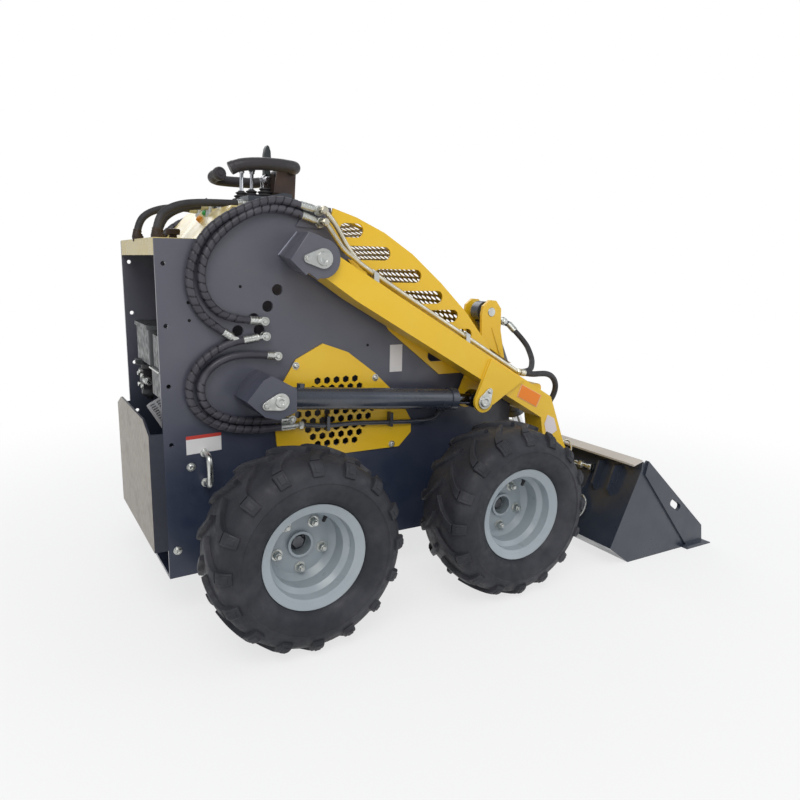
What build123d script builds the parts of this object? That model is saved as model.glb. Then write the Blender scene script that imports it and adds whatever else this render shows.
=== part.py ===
from build123d import *
from math import atan2, cos, degrees, hypot, radians, sin, tan
import os

os.makedirs("parts", exist_ok=True)

# Walk-behind wheeled skid steer loader, millimetres.
# The model is drawn with X = 0 at the rear axle, +X forward, +Y to the left, Z = 0 on the ground.
# It is written out with X = 0 halfway between the rear guard and the bucket's cutting edge.

# Overall places
REAR_X = -272
LIP_X = 1336
CENTRE_X = (REAR_X + LIP_X) / 2

# Wheels
WHEELBASE = 562
TYRE_R = 224
AXLE_Z = TYRE_R
WHEEL_Y = 428
SEAT_HALF = 61.5
SEAT_R = 101
LIP_R = 118
SHAFT_R = 22
TYRE_FLATS = 24
FLAT_OUT = 1.0002 / cos(radians(180 / TYRE_FLATS))
LUG_COUNT = 16
STUD_PCD = 112

# Chassis plates
PLATE_OUT = 213
PLATE_T = 8
PLATE_IN = PLATE_OUT - PLATE_T
BODY_REAR = -241
BODY_FRONT = 741
BELLY_Z = 108
SHOULDER_Z = 878
SHEET_T = 4
ARCH_T = 5
SIDE_HOLE_X = -224
SIDE_HOLE_Z = 693
SIDE_HOLE_PITCH = 133
SIDE_HOLE_R = 5

# Boom and its pins
PIVOT = (96, 844)
ARM_IN = 235
ARM_OUT = 308
HUB_R = 34
PIVOT_PIN_R = 15
EAR_IN = 315
EAR_T = 8
TIP = (896, 141)
TIP_R = 32
TIP_PIN_R = 14
RUNNING = 0.08

# Lift cylinders
LIFT_REAR = (-4, 527)
LIFT_FRONT = (567, 481)
LIFT_Y = (ARM_IN + ARM_OUT) / 2
LIFT_BARREL_R = 27
LIFT_ROD_R = 14
LIFT_PIN_R = 12.5
LIFT_GLAND_AT = 505

# Tilt cylinder
TOWER = (784, 697)
TILT_REST_L = 445
TILT_ANGLE = -65
TILT_BARREL_R = 30
TILT_ROD_R = 16
TILT_PIN_R = 14
TILT_GLAND_AT = 376
TOWER_Y = 45
TILT_HOSE_END = (895, -31, 635)
TILT_FERRULE = [(894, -29.8, 636.6), (883, -16, 654), (868, 0, 663)]
TILT_FRONT = (
    TOWER[0] + TILT_REST_L * cos(radians(TILT_ANGLE)),
    TOWER[1] + TILT_REST_L * sin(radians(TILT_ANGLE)),
)

# Hoses and pipes
HOSE_R = 8.5
HOSE_Y = -226.5
HOSE_SIDES = 8
FERRULE_R = 9.4
ELBOW_R = 10
NUT_R = 12.5
FERRULE_L = 26
PIPE_R = 6
PIPE_Y = (-246.5, -265.5)

# Bucket
BUCKET_HALF = 484
BUCKET_T = 6
HEEL = (988, 0)
BACK_LOW = (910, 57)
BACK_TOP = (1010, 275)
FLANGE_ROOT = (1012, 300)
FLANGE_TIP = (977, 291)
EDGE_HALF = 505
EDGE_T = 10


def write(node, *shapes):
    """Writes one node, moved to the frame whose origin is under the middle of the box."""
    solids = [solid for shape in shapes for solid in shape.solids()]
    moved = [Pos(-CENTRE_X, 0, 0) * solid for solid in solids]
    export_step(moved[0] if len(moved) == 1 else Compound(children=moved), f"parts/{node}.step")


def both(shape):
    """The shape and its mirror image on the left side."""
    return [shape, mirror(shape, about=Plane.XZ)]


def slab(outline, y_a, y_b, rounds=None):
    """A plate cut to an outline of (x, z) corners; rounds gives the radius at some corners."""
    face = Plane.XZ * Polygon(*outline, align=None)
    for index, radius in (rounds or {}).items():
        x, z = outline[index]
        corner = face.vertices().sort_by_distance((x, 0, z))[0]
        face = fillet(corner, radius)
    low = min(y_a, y_b)
    return Pos(0, low, 0) * extrude(face, amount=abs(y_b - y_a), dir=(0, 1, 0))


def barrel_y(x, z, radius, y_a, y_b):
    """A round bar along Y."""
    middle = (y_a + y_b) / 2
    return Pos(x, middle, z) * Rot(90, 0, 0) * Cylinder(radius, abs(y_b - y_a))


def bar(start, end, radius):
    """A round bar between two points of (x, y, z)."""
    start, end = Vector(*start), Vector(*end)
    return extrude(Plane(origin=start, z_dir=end - start) * Circle(radius), amount=(end - start).length)


def link(points_and_radii, y_a, y_b):
    """A plate whose outline wraps round several discs, each (x, z, radius)."""
    discs = [Pos(x, z) * Circle(radius) for x, z, radius in points_and_radii]
    outline = make_hull([edge for disc in discs for edge in disc.edges()])
    face = Plane.XZ * make_face(outline.edges()) if not isinstance(outline, Sketch) else Plane.XZ * outline
    return Pos(0, min(y_a, y_b), 0) * extrude(face, amount=abs(y_b - y_a), dir=(0, 1, 0))


def strip(path, thickness, y_a, y_b):
    """A folded sheet: a line of (x, z) points thickened to its left, or to its right if negative."""
    line = Polyline(*path)
    side = Side.LEFT if thickness > 0 else Side.RIGHT
    band = offset(line, amount=abs(thickness), side=side, kind=Kind.INTERSECTION)
    face = Plane.XZ * make_face(band.edges())
    return Pos(0, min(y_a, y_b), 0) * extrude(face, amount=abs(y_b - y_a), dir=(0, 1, 0))


def wheel_place(x, side):
    """Where a wheel's own frame goes: its axis is Y, its outer face looks outwards."""
    return Pos(x, side * WHEEL_Y, AXLE_Z) * (Rot(0, 0, 180) if side > 0 else Rot(0, 0, 0))


def revolved(outline):
    """A ring from an outline of (outboard distance, radius); outboard is -Y in the wheel's frame."""
    face = make_face(Polyline(*[(-s, r) for s, r in outline], close=True))
    on_plane = Plane(origin=(0, 0, 0), x_dir=(0, 1, 0), z_dir=(1, 0, 0)) * face
    return revolve(on_plane, Axis.Y, 360)


def polar(angle, s, radius):
    """A point at an angle from the top of the wheel, an outboard distance and a radius."""
    return Vector(radius * sin(radians(angle)), -s, radius * cos(radians(angle)))


def flat_ring(sections):
    """A round body of flat facets through sections of (outboard distance, radius)."""
    rings = []
    for s, radius in sections:
        plane = Plane(origin=(0, -s, 0), x_dir=(1, 0, 0), z_dir=(0, -1, 0))
        rings.append(plane * RegularPolygon(radius, TYRE_FLATS, major_radius=True))
    return loft(rings, ruled=True)


def flat_bar(near, far):
    """A bar between two rings of four corners, its sides split into flat triangles."""
    triangles = []
    for i in range(4):
        j = (i + 1) % 4
        triangles += [(near[i], near[j], far[j]), (near[i], far[j], far[i])]
    for ring in (near, far):
        triangles += [(ring[0], ring[1], ring[2]), (ring[0], ring[2], ring[3])]
    return Solid(Shell([Face(Wire.make_polygon(corners, close=True)) for corners in triangles]))


def lug_section(trailing, leading, s, base, top):
    """The four corners of a lug's section between two angles."""
    return [polar(trailing, s, base), polar(leading, s, base), polar(leading, s, top), polar(trailing, s, top)]


def tyre():
    """A tyre of flat facets, with a chevron of bar lugs that rise from the shoulder to the crown."""
    crown = flat_ring([(-92, 176), (-58, 210), (58, 210), (92, 176)])
    recess = flat_ring([(SEAT_HALF, SEAT_R * FLAT_OUT), (68, LIP_R * FLAT_OUT), (92, 176)])
    seat = RegularPolygon(SEAT_R * FLAT_OUT, TYRE_FLATS, major_radius=True)
    bore = Rot(90, 0, 0) * extrude(seat, amount=80, both=True)
    carcass = crown.cut(recess, mirror(recess, about=Plane.XZ), bore)
    lug = flat_bar(lug_section(11.4, 14.4, 2, 196, TYRE_R), lug_section(-3.4, 3.4, 82, 165, 205))
    step = 360 / LUG_COUNT
    lugs = [Rot(0, step * i, 0) * lug for i in range(LUG_COUNT)]
    inner_lug = mirror(lug, about=Plane.XZ)
    lugs += [Rot(0, step * (i + 0.5), 0) * inner_lug for i in range(LUG_COUNT)]
    return carcass.fuse(*lugs)


# The rim's section as (outboard distance, radius), from the hub's recess round the flanges to the shaft
RIM_FACE = [(-42, 0), (-42, 24), (-9, 24), (-9, 30), (-18, 30), (-18, 70), (-6, 84), (30, 84), (40, 95), (63, 97)]
RIM_FACE += [(72, LIP_R), (68, LIP_R), (SEAT_HALF, SEAT_R)]
RIM_BACK = [(-SEAT_HALF, SEAT_R), (-68, LIP_R), (-72, LIP_R), (-63, 97), (-28, 95), (-24, 64), (-36, 64)]
RIM_BACK += [(-36, SHAFT_R), (-95, SHAFT_R), (-95, 0)]


def rim():
    """The steel rim, its dished disc and the hub behind it, turned as one, with five wheel studs."""
    turned = revolved(RIM_FACE + RIM_BACK)
    studs = [
        Rot(0, 36 + 72 * i, 0) * (Pos(0, 7, STUD_PCD / 2) * Rot(-90, 0, 0) * extrude(RegularPolygon(9, 6), amount=12))
        for i in range(5)
    ]
    return turned.fuse(*studs)


def axle_housing():
    """The wheel motor's housing with its square flange, in the wheel's frame but fixed to the chassis."""
    plate_at = PLATE_OUT - WHEEL_Y
    flange = Pos(0, -plate_at - 6, 0) * Box(132, 12, 132)
    end = 43
    turned = revolved(
        [(plate_at + 12, 0), (plate_at + 12, 54), (-98, 54), (-92, 42), (-end, 42)]
        + [(-end, SHAFT_R + RUNNING), (-105, SHAFT_R + RUNNING), (-105, 0)]
    )
    return flange.fuse(turned)


one_tyre = tyre()
one_rim = rim()
for name, x in (("rear", 0), ("front", WHEELBASE)):
    for side_name, side in (("right", -1), ("left", 1)):
        place = wheel_place(x, side)
        write(f"tyre_{name}_{side_name}", place * one_tyre)
        write(f"rim_{name}_{side_name}", place * one_rim)
write(
    "axle_housings",
    *[wheel_place(x, side) * axle_housing() for x in (0, WHEELBASE) for side in (-1, 1)],
)

# The chassis side plates
SEAM = [(170, 930), (338, 676), (490, 557)]
DOME = [(-133, 880), (-115, 902), (-95, 917), (-54, 945), (-3, 963), (34, 965), (138, 965), (166, 962)]
plate_outline = [(BODY_REAR, BELLY_Z), (BODY_REAR, SHOULDER_Z)] + DOME + SEAM
plate_outline += [(BODY_FRONT, 557), (BODY_FRONT, 128), (BODY_FRONT - 14, 115), (60, 115)]
COVER = [(143, 642), (211, 618), (288, 561), (336, 516), (384, 454), (399, 428), (400, 394), (363, 358)]
COVER += [(202, 358), (23, 391), (18, 438), (41, 554), (73, 606)]
WINDOW = [(95, 575), (255, 562), (300, 440), (290, 380), (105, 385), (75, 440)]
BIG_HOLES = [(30, 771), (6, 733), (-28, 705), (-66, 678), (-16, 679)]


def side_plate():
    plate = slab(plate_outline, -PLATE_OUT, -PLATE_IN)
    window = slab(WINDOW, -PLATE_OUT - 1, -PLATE_IN + 1)
    holes = [barrel_y(x, z, 13, -PLATE_OUT - 1, -PLATE_IN + 1) for x, z in BIG_HOLES]
    bolt_holes = [(SIDE_HOLE_X, SIDE_HOLE_Z + SIDE_HOLE_PITCH * i) for i in (-2, -1, 0, 1)]
    bolts = [barrel_y(x, z, SIDE_HOLE_R, -PLATE_OUT - 1, -PLATE_IN + 1) for x, z in bolt_holes]
    return plate.cut(window, *holes, *bolts)


right_plate = side_plate()
write("side_plate_right", right_plate)
write("side_plate_left", mirror(right_plate, about=Plane.XZ))

belly_line = [(BODY_REAR, BELLY_Z), (60, 115), (BODY_FRONT - 14, 115)]
write("floor_plate", strip(belly_line, PLATE_T, -PLATE_IN, PLATE_IN))
front_outline = [(BODY_FRONT - PLATE_T, 124), (BODY_FRONT - PLATE_T, 556), (BODY_FRONT, 556), (BODY_FRONT, 130)]
write("front_plate", slab(front_outline, -PLATE_IN, PLATE_IN))

# The arch: a yellow plate on each side and the sheet between them
ARC = [(169, 962), (231, 944), (309, 911), (392, 861), (481, 790), (566, 712), (620, 649), (690, 562)]
# Slots of the arch as (rear end, front end, height)
ARCH_SLOTS = [(186, 250, 913), (200, 327, 860), (282, 420, 806), (350, 488, 752), (440, 540, 702)]
ARCH_SLOTS += [(540, 588, 650), (446, 506, 598)]
SLOT_H = 33


def arch_plate():
    outline = ARC + [(690, 546), (484, 546), (328, 668), (160, 918)]
    plate = slab(outline, -PLATE_OUT, -PLATE_OUT - ARCH_T)
    slots = []
    for x_a, x_b, z in ARCH_SLOTS:
        ends = [(x_a + SLOT_H / 2, z, SLOT_H / 2), (x_b - SLOT_H / 2, z, SLOT_H / 2)]
        slots.append(link(ends, -PLATE_OUT + 1, -PLATE_OUT - ARCH_T - 1))
    return plate.cut(*slots)


write("arch_plates", *both(arch_plate()))
hood_line = [(174, 948)] + [(x - 8, z - 12) for x, z in ARC[1:-1]] + [(BODY_FRONT - 4, 562)]
write("hood_screen", strip(hood_line, SHEET_T, -PLATE_OUT, PLATE_OUT))


# The side cover's grille: rows of hexagonal holes, the longest in the middle
HEX_MIDDLE = (180, 470)
HEX_ROWS = (5, 6, 7, 8, 9, 8, 7, 6, 5)
HEX_PITCH_X = 25.6
HEX_PITCH_Z = 20
HEX_R = 9.6


def side_cover():
    plate = slab(COVER, -PLATE_OUT, -PLATE_OUT - SHEET_T)
    holes = []
    for row, count in enumerate(HEX_ROWS):
        z = HEX_MIDDLE[1] + HEX_PITCH_Z * (row - len(HEX_ROWS) // 2)
        for i in range(count):
            x = HEX_MIDDLE[0] + HEX_PITCH_X * (i - (count - 1) / 2)
            hexagon = Plane.XZ * (Pos(x, z) * RegularPolygon(HEX_R, 6, rotation=30))
            holes.append(Pos(0, -PLATE_OUT + 1, 0) * extrude(hexagon, amount=SHEET_T + 2))
    return plate.cut(*holes)


write("side_covers", *both(side_cover()))

# Brackets that carry the boom and the lift cylinders
BOOM_EAR = [(143, 833), (96, 801), (46, 835), (29, 866), (65, 899), (77, 905), (140, 870)]
BOOM_WALL = [(46, 835), (29, 866), (65, 899), (77, 905)]
LIFT_EAR = [(-23, 586), (5, 571), (36, 553), (36, 500), (-7, 484), (-39, 493), (-80, 531), (-42, 577)]
LIFT_WALL = [(-39, 493), (-80, 531), (-42, 577), (-23, 586)]


def bracket(ear, wall, pin, pin_r, ear_in):
    """An ear that stands off the side plate on a folded wall, with the hole of its pin."""
    plate = slab(ear, -ear_in, -ear_in - EAR_T, {0: 12})
    folded = strip(wall, -EAR_T, -PLATE_OUT, -ear_in)
    hole = barrel_y(pin[0], pin[1], pin_r, -ear_in + 1, -ear_in - EAR_T - 1)
    return plate.fuse(folded).cut(hole)


write("boom_brackets", *both(bracket(BOOM_EAR, BOOM_WALL, PIVOT, PIVOT_PIN_R, EAR_IN)))
write("cylinder_brackets", *both(bracket(LIFT_EAR, LIFT_WALL, LIFT_REAR, LIFT_PIN_R, EAR_IN - 10)))


def fixed_pin(place, radius, ear_in, tail):
    """A pin from the side plate through the ear, with its teardrop keeper outside."""
    shaft = barrel_y(place[0], place[1], radius, -PLATE_OUT, -ear_in - EAR_T)
    discs = [(place[0], place[1], radius + 7), (place[0] + tail[0], place[1] + tail[1], 9)]
    return shaft.fuse(link(discs, -ear_in - EAR_T, -ear_in - EAR_T - 6))


write(
    "chassis_pins",
    *both(fixed_pin(PIVOT, PIVOT_PIN_R, EAR_IN, (-28, 8))),
    *both(fixed_pin(LIFT_REAR, LIFT_PIN_R, EAR_IN - 10, (-26, -6))),
)

# The boom
ARM_SIDE = [
    (96, 810),
    (187, 750),
    (778, 417),
    (786, 377),
    (TIP[0] - 30, TIP[1] - 12),
    (TIP[0] + 31, TIP[1] + 12),
    (895, 292),
    (868, 342),
    (812, 474),
    (173, 833),
    (110, 869),
]


def along(start, direction_deg, distance):
    return (start[0] + distance * cos(radians(direction_deg)), start[1] + distance * sin(radians(direction_deg)))


def arm():
    """One boom arm: the long beam, the knee and the leg, bored for its pins, with its cylinder lugs."""
    beam = slab(ARM_SIDE, -ARM_IN, -ARM_OUT)
    hub = barrel_y(PIVOT[0], PIVOT[1], HUB_R, -ARM_IN, -ARM_OUT)
    tip = barrel_y(TIP[0], TIP[1], TIP_R, -ARM_IN, -ARM_OUT)
    lug = [(585, 594), (700, 530), (598, 470), (LIFT_FRONT[0], LIFT_FRONT[1]), (538, 488)]
    lugs = []
    for y in (-ARM_OUT, -ARM_IN + EAR_T):
        plate = slab(lug, y, y - EAR_T).fuse(barrel_y(LIFT_FRONT[0], LIFT_FRONT[1], 30, y, y - EAR_T))
        lugs.append(plate.cut(barrel_y(LIFT_FRONT[0], LIFT_FRONT[1], LIFT_PIN_R, y + 1, y - EAR_T - 1)))
    whole = beam.fuse(hub, tip)
    bore = barrel_y(PIVOT[0], PIVOT[1], PIVOT_PIN_R + RUNNING, -ARM_IN + 1, -ARM_OUT - 1)
    tip_bore = barrel_y(TIP[0], TIP[1], TIP_PIN_R, -ARM_IN + 1, -ARM_OUT - 1)
    return whole.cut(bore, tip_bore).fuse(*lugs)


right_arm = arm()
write("boom_arm_right", right_arm)
write("boom_arm_left", mirror(right_arm, about=Plane.XZ))

# Between the arms: the knee tube with the tilt tower on it, and the leg tube
TOWER_EAR = [(758, 452), (747, 690), (752, 716), (775, 734), (800, 732), (821, 707), (823, 640), (850, 520)]
TOWER_EAR += [(850, 452)]
tower_bore = barrel_y(TOWER[0], TOWER[1], TILT_PIN_R, -60, 60)
knee_tube = slab([(762, 425), (762, 500), (838, 500), (838, 425)], -ARM_IN, ARM_IN, {0: 14, 2: 14})
ears = [slab(TOWER_EAR, side * (TOWER_Y - 5), side * (TOWER_Y + 5)).cut(tower_bore) for side in (-1, 1)]
leg_tube = barrel_y(858, 280, 25, -ARM_IN, ARM_IN)
write("boom_cross", knee_tube.fuse(*ears), leg_tube)


def head_pin(place, radius, y_a, y_b, head):
    """A pin with a round head at its outer end, y_b."""
    out = 5 if y_b > y_a else -5
    return barrel_y(place[0], place[1], radius, y_a, y_b).fuse(barrel_y(place[0], place[1], head, y_b, y_b + out))


lift_front_pins = []
for inner, outer in ((-ARM_IN - 5, -ARM_IN + EAR_T), (-ARM_OUT + 12, -ARM_OUT - EAR_T)):
    lift_front_pins += both(head_pin(LIFT_FRONT, LIFT_PIN_R, inner, outer, 19))
tower_pin = head_pin(TOWER, TILT_PIN_R, 0, -TOWER_Y - 5, 22).fuse(head_pin(TOWER, TILT_PIN_R, 0, TOWER_Y + 5, 22))
tip_pins = both(barrel_y(TIP[0], TIP[1], TIP_PIN_R, -219, -324))
write("boom_pins", *lift_front_pins, tower_pin, *tip_pins)


def in_line(shape, start, end, y):
    """Places a shape drawn along +X at the start point, pointing at the end point."""
    angle = degrees(atan2(end[1] - start[1], end[0] - start[0]))
    return Pos(start[0], y, start[1]) * Rot(0, -angle, 0) * shape


def rod_x(radius, x_a, x_b):
    return Pos((x_a + x_b) / 2, 0, 0) * Rot(0, 90, 0) * Cylinder(radius, abs(x_b - x_a))


def eye(x, radius, half_width, bore):
    ring = Pos(x, 0, 0) * Rot(90, 0, 0) * Cylinder(radius, 2 * half_width)
    if bore:
        ring = ring - Pos(x, 0, 0) * Rot(90, 0, 0) * Cylinder(bore, 2 * half_width + 2)
    return ring


GLAND_L = 20
PISTON_L = 12


def cylinder_barrel(outer, rod, pin_r, gland_at, piston, port_top):
    """A barrel along +X from its eye at 0, bored for the piston, with a gland and a port that stands up."""
    foot = 34
    tube = rod_x(outer, foot - 12, gland_at)
    gland = rod_x(outer + 3, gland_at - GLAND_L, gland_at)
    ring = eye(0, outer + 1, 18, 0)
    port = Pos(64, 0, (outer - 6 + port_top) / 2) * Cylinder(FERRULE_R, port_top - outer + 6)
    body = tube.fuse(gland, ring, port)
    bore = rod_x(piston, foot + 10, gland_at - GLAND_L)
    neck = rod_x(rod + RUNNING, gland_at - GLAND_L - 1, gland_at + 1)
    pin = Rot(90, 0, 0) * Cylinder(pin_r + RUNNING, 2 * outer)
    return body.cut(bore, neck, pin)


def cylinder_rod(rod, eye_at, eye_r, tail, piston):
    """A rod with its piston inside the barrel and its eye at the far end."""
    shaft = rod_x(rod, tail, eye_at)
    head = rod_x(piston, tail, tail + PISTON_L)
    return shaft.fuse(head, eye(eye_at, eye_r, 17, 0))


lift_length = hypot(LIFT_FRONT[0] - LIFT_REAR[0], LIFT_FRONT[1] - LIFT_REAR[1])
lift_barrel = cylinder_barrel(LIFT_BARREL_R, LIFT_ROD_R, LIFT_PIN_R, LIFT_GLAND_AT, 21, 36)
lift_rod = cylinder_rod(LIFT_ROD_R, lift_length, 24, 120, 21 - RUNNING)
for side_name, side in (("right", -1), ("left", 1)):
    write(f"lift_barrel_{side_name}", in_line(lift_barrel, LIFT_REAR, LIFT_FRONT, side * LIFT_Y))
    write(f"lift_rod_{side_name}", in_line(lift_rod, LIFT_REAR, LIFT_FRONT, side * LIFT_Y))

tilt_barrel = cylinder_barrel(TILT_BARREL_R, TILT_ROD_R, TILT_PIN_R, TILT_GLAND_AT, 24, 70)
tilt_rod = cylinder_rod(TILT_ROD_R, TILT_REST_L, 20, 78, 24 - RUNNING)
tilt_ferrule = bar(TILT_FERRULE[0], TILT_FERRULE[1], FERRULE_R).fuse(bar(TILT_FERRULE[1], TILT_FERRULE[2], FERRULE_R))
write("tilt_barrel", in_line(tilt_barrel, TOWER, TILT_FRONT, 0).fuse(tilt_ferrule))
write("tilt_rod", in_line(tilt_rod, TOWER, TILT_FRONT, 0))

# The quick-attach frame, measured along and off the bucket's sloping back
BACK_ANGLE = degrees(atan2(BACK_TOP[1] - BACK_LOW[1], BACK_TOP[0] - BACK_LOW[0]))


def back_point(up, off):
    """A point at a distance up the bucket's back and off it to the rear."""
    on_back = along(BACK_LOW, BACK_ANGLE, up)
    return along(on_back, BACK_ANGLE + 90, off)


def back_plate(corners, y_a, y_b):
    return slab([back_point(up, off) for up, off in corners], y_a, y_b)


face_plate = back_plate([(22, 0), (22, 10), (214, 10), (214, 0)], -322, 322)
window = back_plate([(120, -1), (120, 11), (220, 11), (220, -1)], -24, 24)
frame_plate = face_plate.cut(window)
ear_outline = [back_point(24, 9), back_point(40, 60), (TIP[0] - 24, TIP[1] + 16), (TIP[0] + 4, TIP[1] + 29)]
ear_outline += [back_point(140, 9)]
tip_ears = []
for y_in in (219, 314):
    y_out = y_in + EAR_T
    ear = slab(ear_outline, -y_in, -y_out).fuse(barrel_y(TIP[0], TIP[1], 29, -y_in, -y_out))
    tip_ears += both(ear.cut(barrel_y(TIP[0], TIP[1], TIP_PIN_R + RUNNING, -y_in + 1, -y_out - 1)))
lug_outline = [back_point(130, 9), (TILT_FRONT[0] - 25, TILT_FRONT[1] - 6)]
lug_outline += [(TILT_FRONT[0] - 8, TILT_FRONT[1] + 22), back_point(213, 9)]
rod_lug = slab(lug_outline, -26, -36).fuse(barrel_y(TILT_FRONT[0], TILT_FRONT[1], 24, -26, -36))
rod_lugs = both(rod_lug.fuse(barrel_y(TILT_FRONT[0], TILT_FRONT[1], 12, -36, -44)))
write("quick_attach", frame_plate.fuse(*tip_ears, *rod_lugs))

# The bucket
shell_line = [(1246, 0), HEEL, BACK_LOW, BACK_TOP, FLANGE_ROOT]
shell = strip(shell_line, -BUCKET_T, -BUCKET_HALF, BUCKET_HALF)
cylinder_gap = slab([(965, 270), (965, 310), (1030, 310), (1030, 270)], -60, 60)
shell = shell.cut(cylinder_gap)
CHEEK = [HEEL, BACK_LOW, BACK_TOP, (1032, 301), (1303, 61), (1312, EDGE_T), (1250, 0)]
CUTTER = [(1032, 301), (1303, 61), (1312, EDGE_T), (1236, EDGE_T), (1022, 262)]
cheek = slab(CHEEK, -BUCKET_HALF, -BUCKET_HALF + BUCKET_T)
cutter = slab(CUTTER, -BUCKET_HALF, -BUCKET_HALF - BUCKET_T)
lifting_hole = link([(1155, 157, 11), (1181, 139, 11)], -BUCKET_HALF - 10, -BUCKET_HALF + 10)
side_wall = cheek.fuse(cutter).cut(lifting_hole)
edge = slab([(1226, 0), (1226, EDGE_T), (1316, EDGE_T), (LIP_X, 3), (LIP_X, 0)], -EDGE_HALF, EDGE_HALF)
RIB_Y = (352, 411)
ribs = []
for y in RIB_Y:
    ribs += both(back_plate([(140, -1), (156, 26), (226, 32), (240, -1)], -y, -y - BUCKET_T))
write("bucket", shell.fuse(edge, *both(side_wall), *ribs))
flange = strip([FLANGE_ROOT, FLANGE_TIP], -BUCKET_T, -BUCKET_HALF, BUCKET_HALF)
write("bucket_flange", flange.cut(cylinder_gap, shell))


def rounded_box(x_a, x_b, y_a, y_b, z_a, z_b, radius):
    """A moulded box whose upright edges are rounded."""
    box = Pos((x_a + x_b) / 2, (y_a + y_b) / 2, (z_a + z_b) / 2) * Box(x_b - x_a, y_b - y_a, z_b - z_a)
    return fillet(box.edges().filter_by(Axis.Z), radius)


# The engine: its block, two finned cylinders and the round blower housing that faces the rear
ENGINE_TOP = 588
ENGINE_HALF = 165
BLOCK_TOP = ENGINE_TOP - 60
FIN_COUNT = 7
block = slab([(-100, 250), (-100, BLOCK_TOP), (190, BLOCK_TOP), (190, 250)], -ENGINE_HALF, ENGINE_HALF)
top_cover = slab([(-86, BLOCK_TOP - 1), (-86, ENGINE_TOP), (170, ENGINE_TOP), (170, BLOCK_TOP - 1)], -70, 70)
blower = Pos(0, 0, 400) * rod_x(118, -99, -128)
fins = []
for i in range(FIN_COUNT):
    z = BLOCK_TOP + 6 + 8 * i
    fins += both(slab([(-70, z), (-70, z + 4), (90, z + 4), (90, z)], -69, -ENGINE_HALF + 12))
head = slab([(-44, BLOCK_TOP - 1), (-44, ENGINE_TOP), (64, ENGINE_TOP), (64, BLOCK_TOP - 1)], -69, -ENGINE_HALF + 34)
engine = block.fuse(top_cover, blower, *both(head), *fins)
write("engine", engine)

cleaner = rounded_box(-234, -136, -80, 104, ENGINE_TOP, 672, 20)
write("air_cleaner", cleaner.fuse(rounded_box(-238, -132, -84, 108, 672, 682, 24)))
battery = rounded_box(-236, -160, -200, -120, ENGINE_TOP + 6, 668, 6)
TRAY = [(-239, 530), (-239, ENGINE_TOP + 6), (-152, ENGINE_TOP + 6), (-152, ENGINE_TOP), (-233, ENGINE_TOP)]
TRAY += [(-233, 530)]
write("battery", battery.fuse(slab(TRAY, -PLATE_IN, -112)))

# The carburettor below the air cleaner, with its bowl and its pipe to the engine
CARB_Y = 66
carburettor = slab([(-232, 512), (-232, 562), (-194, 562), (-194, 512)], CARB_Y - 24, CARB_Y + 24)
neck = bar((-213, CARB_Y, 560), (-213, CARB_Y, ENGINE_TOP), 19)
intake = bar((-196, CARB_Y, 536), (-90, CARB_Y, 470), 15)
screw = bar((-224, CARB_Y - 23, 536), (-224, CARB_Y - 44, 536), 9)
write("carburettor", carburettor.fuse(neck, intake, screw).cut(engine))

# The muffler's slotted guard, which leans with the pipe behind it
GUARD_W = 60
GUARD_H = 72
GUARD_DEPTH = 34
SLOT_ROWS = 8
SLOT_PITCH = 6.2
# Columns of slots as (start, end) along the guard
SLOT_COLUMNS = [(8, 20), (26, 54)]
guard_plane = Plane(origin=(-234, 12, 476), x_dir=(1, -0.4, 0.65), z_dir=(-0.372, -0.928, 0))
guard = guard_plane * (Pos(GUARD_W / 2, -GUARD_H / 2, -GUARD_DEPTH / 2) * Box(GUARD_W, GUARD_H, GUARD_DEPTH))
slots = []
for a, b in SLOT_COLUMNS:
    for i in range(SLOT_ROWS):
        slots.append(guard_plane * (Pos((a + b) / 2, -6 - SLOT_PITCH * i, 0) * Box(b - a, 3.4, 12)))
outlet = guard_plane * (Pos(34, -63, 0) * Box(38, 11, 30))
exhaust = bar((-190, 20, 462), (-90, 10, 448), 18)
write("muffler", guard.cut(*slots, outlet).fuse(exhaust).cut(engine))

# The rear guard: a pan with its top open and the upper corners of its face cut off
GUARD_LOW = 178
GUARD_TOP = 478
SIDE_TOP = 452
PAN_T = 5


def pan_block(x_a, x_b, half, z_a, z_b):
    return slab([(x_a, z_a), (x_b, z_a), (x_b, z_b), (x_a, z_b)], -half, half)


pan = pan_block(REAR_X, BODY_REAR, PLATE_OUT, GUARD_LOW, GUARD_TOP)
hollow = pan_block(REAR_X + PAN_T, BODY_REAR + 1, PLATE_OUT - PAN_T, GUARD_LOW + PAN_T, GUARD_TOP + 1)
CORNER = [(-PLATE_OUT - 1, SIDE_TOP), (-150, GUARD_TOP), (-150, GUARD_TOP + 20), (-PLATE_OUT - 1, GUARD_TOP + 20)]
corner = Plane.YZ * Polygon(*CORNER, align=None)
corner_cut = Pos(REAR_X - 1, 0, 0) * extrude(corner, amount=BODY_REAR - REAR_X + 2, dir=(1, 0, 0))
write("rear_guard", pan.cut(hollow, *both(corner_cut)))

# The yellow deck: its rear lip, the sloping panel and the flat top between the side plates' domes
DECK_Z = 876
DECK_TOP = 951
deck_line = [(BODY_REAR + SHEET_T, 843), (BODY_REAR + SHEET_T, DECK_Z), (-135, DECK_Z), (-69, DECK_TOP)]
deck_line += [(162, DECK_TOP), (168, 946)]
deck = strip(deck_line, SHEET_T, -PLATE_IN, PLATE_IN)
write("deck", deck)
deck_low = DECK_TOP + SHEET_T
filler_neck = bar((-158, -20, DECK_Z + SHEET_T), (-158, -20, 894), 9)
write("fuel_cap", filler_neck.fuse(bar((-158, -20, 893), (-158, -20, 906), 15)))

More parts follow.
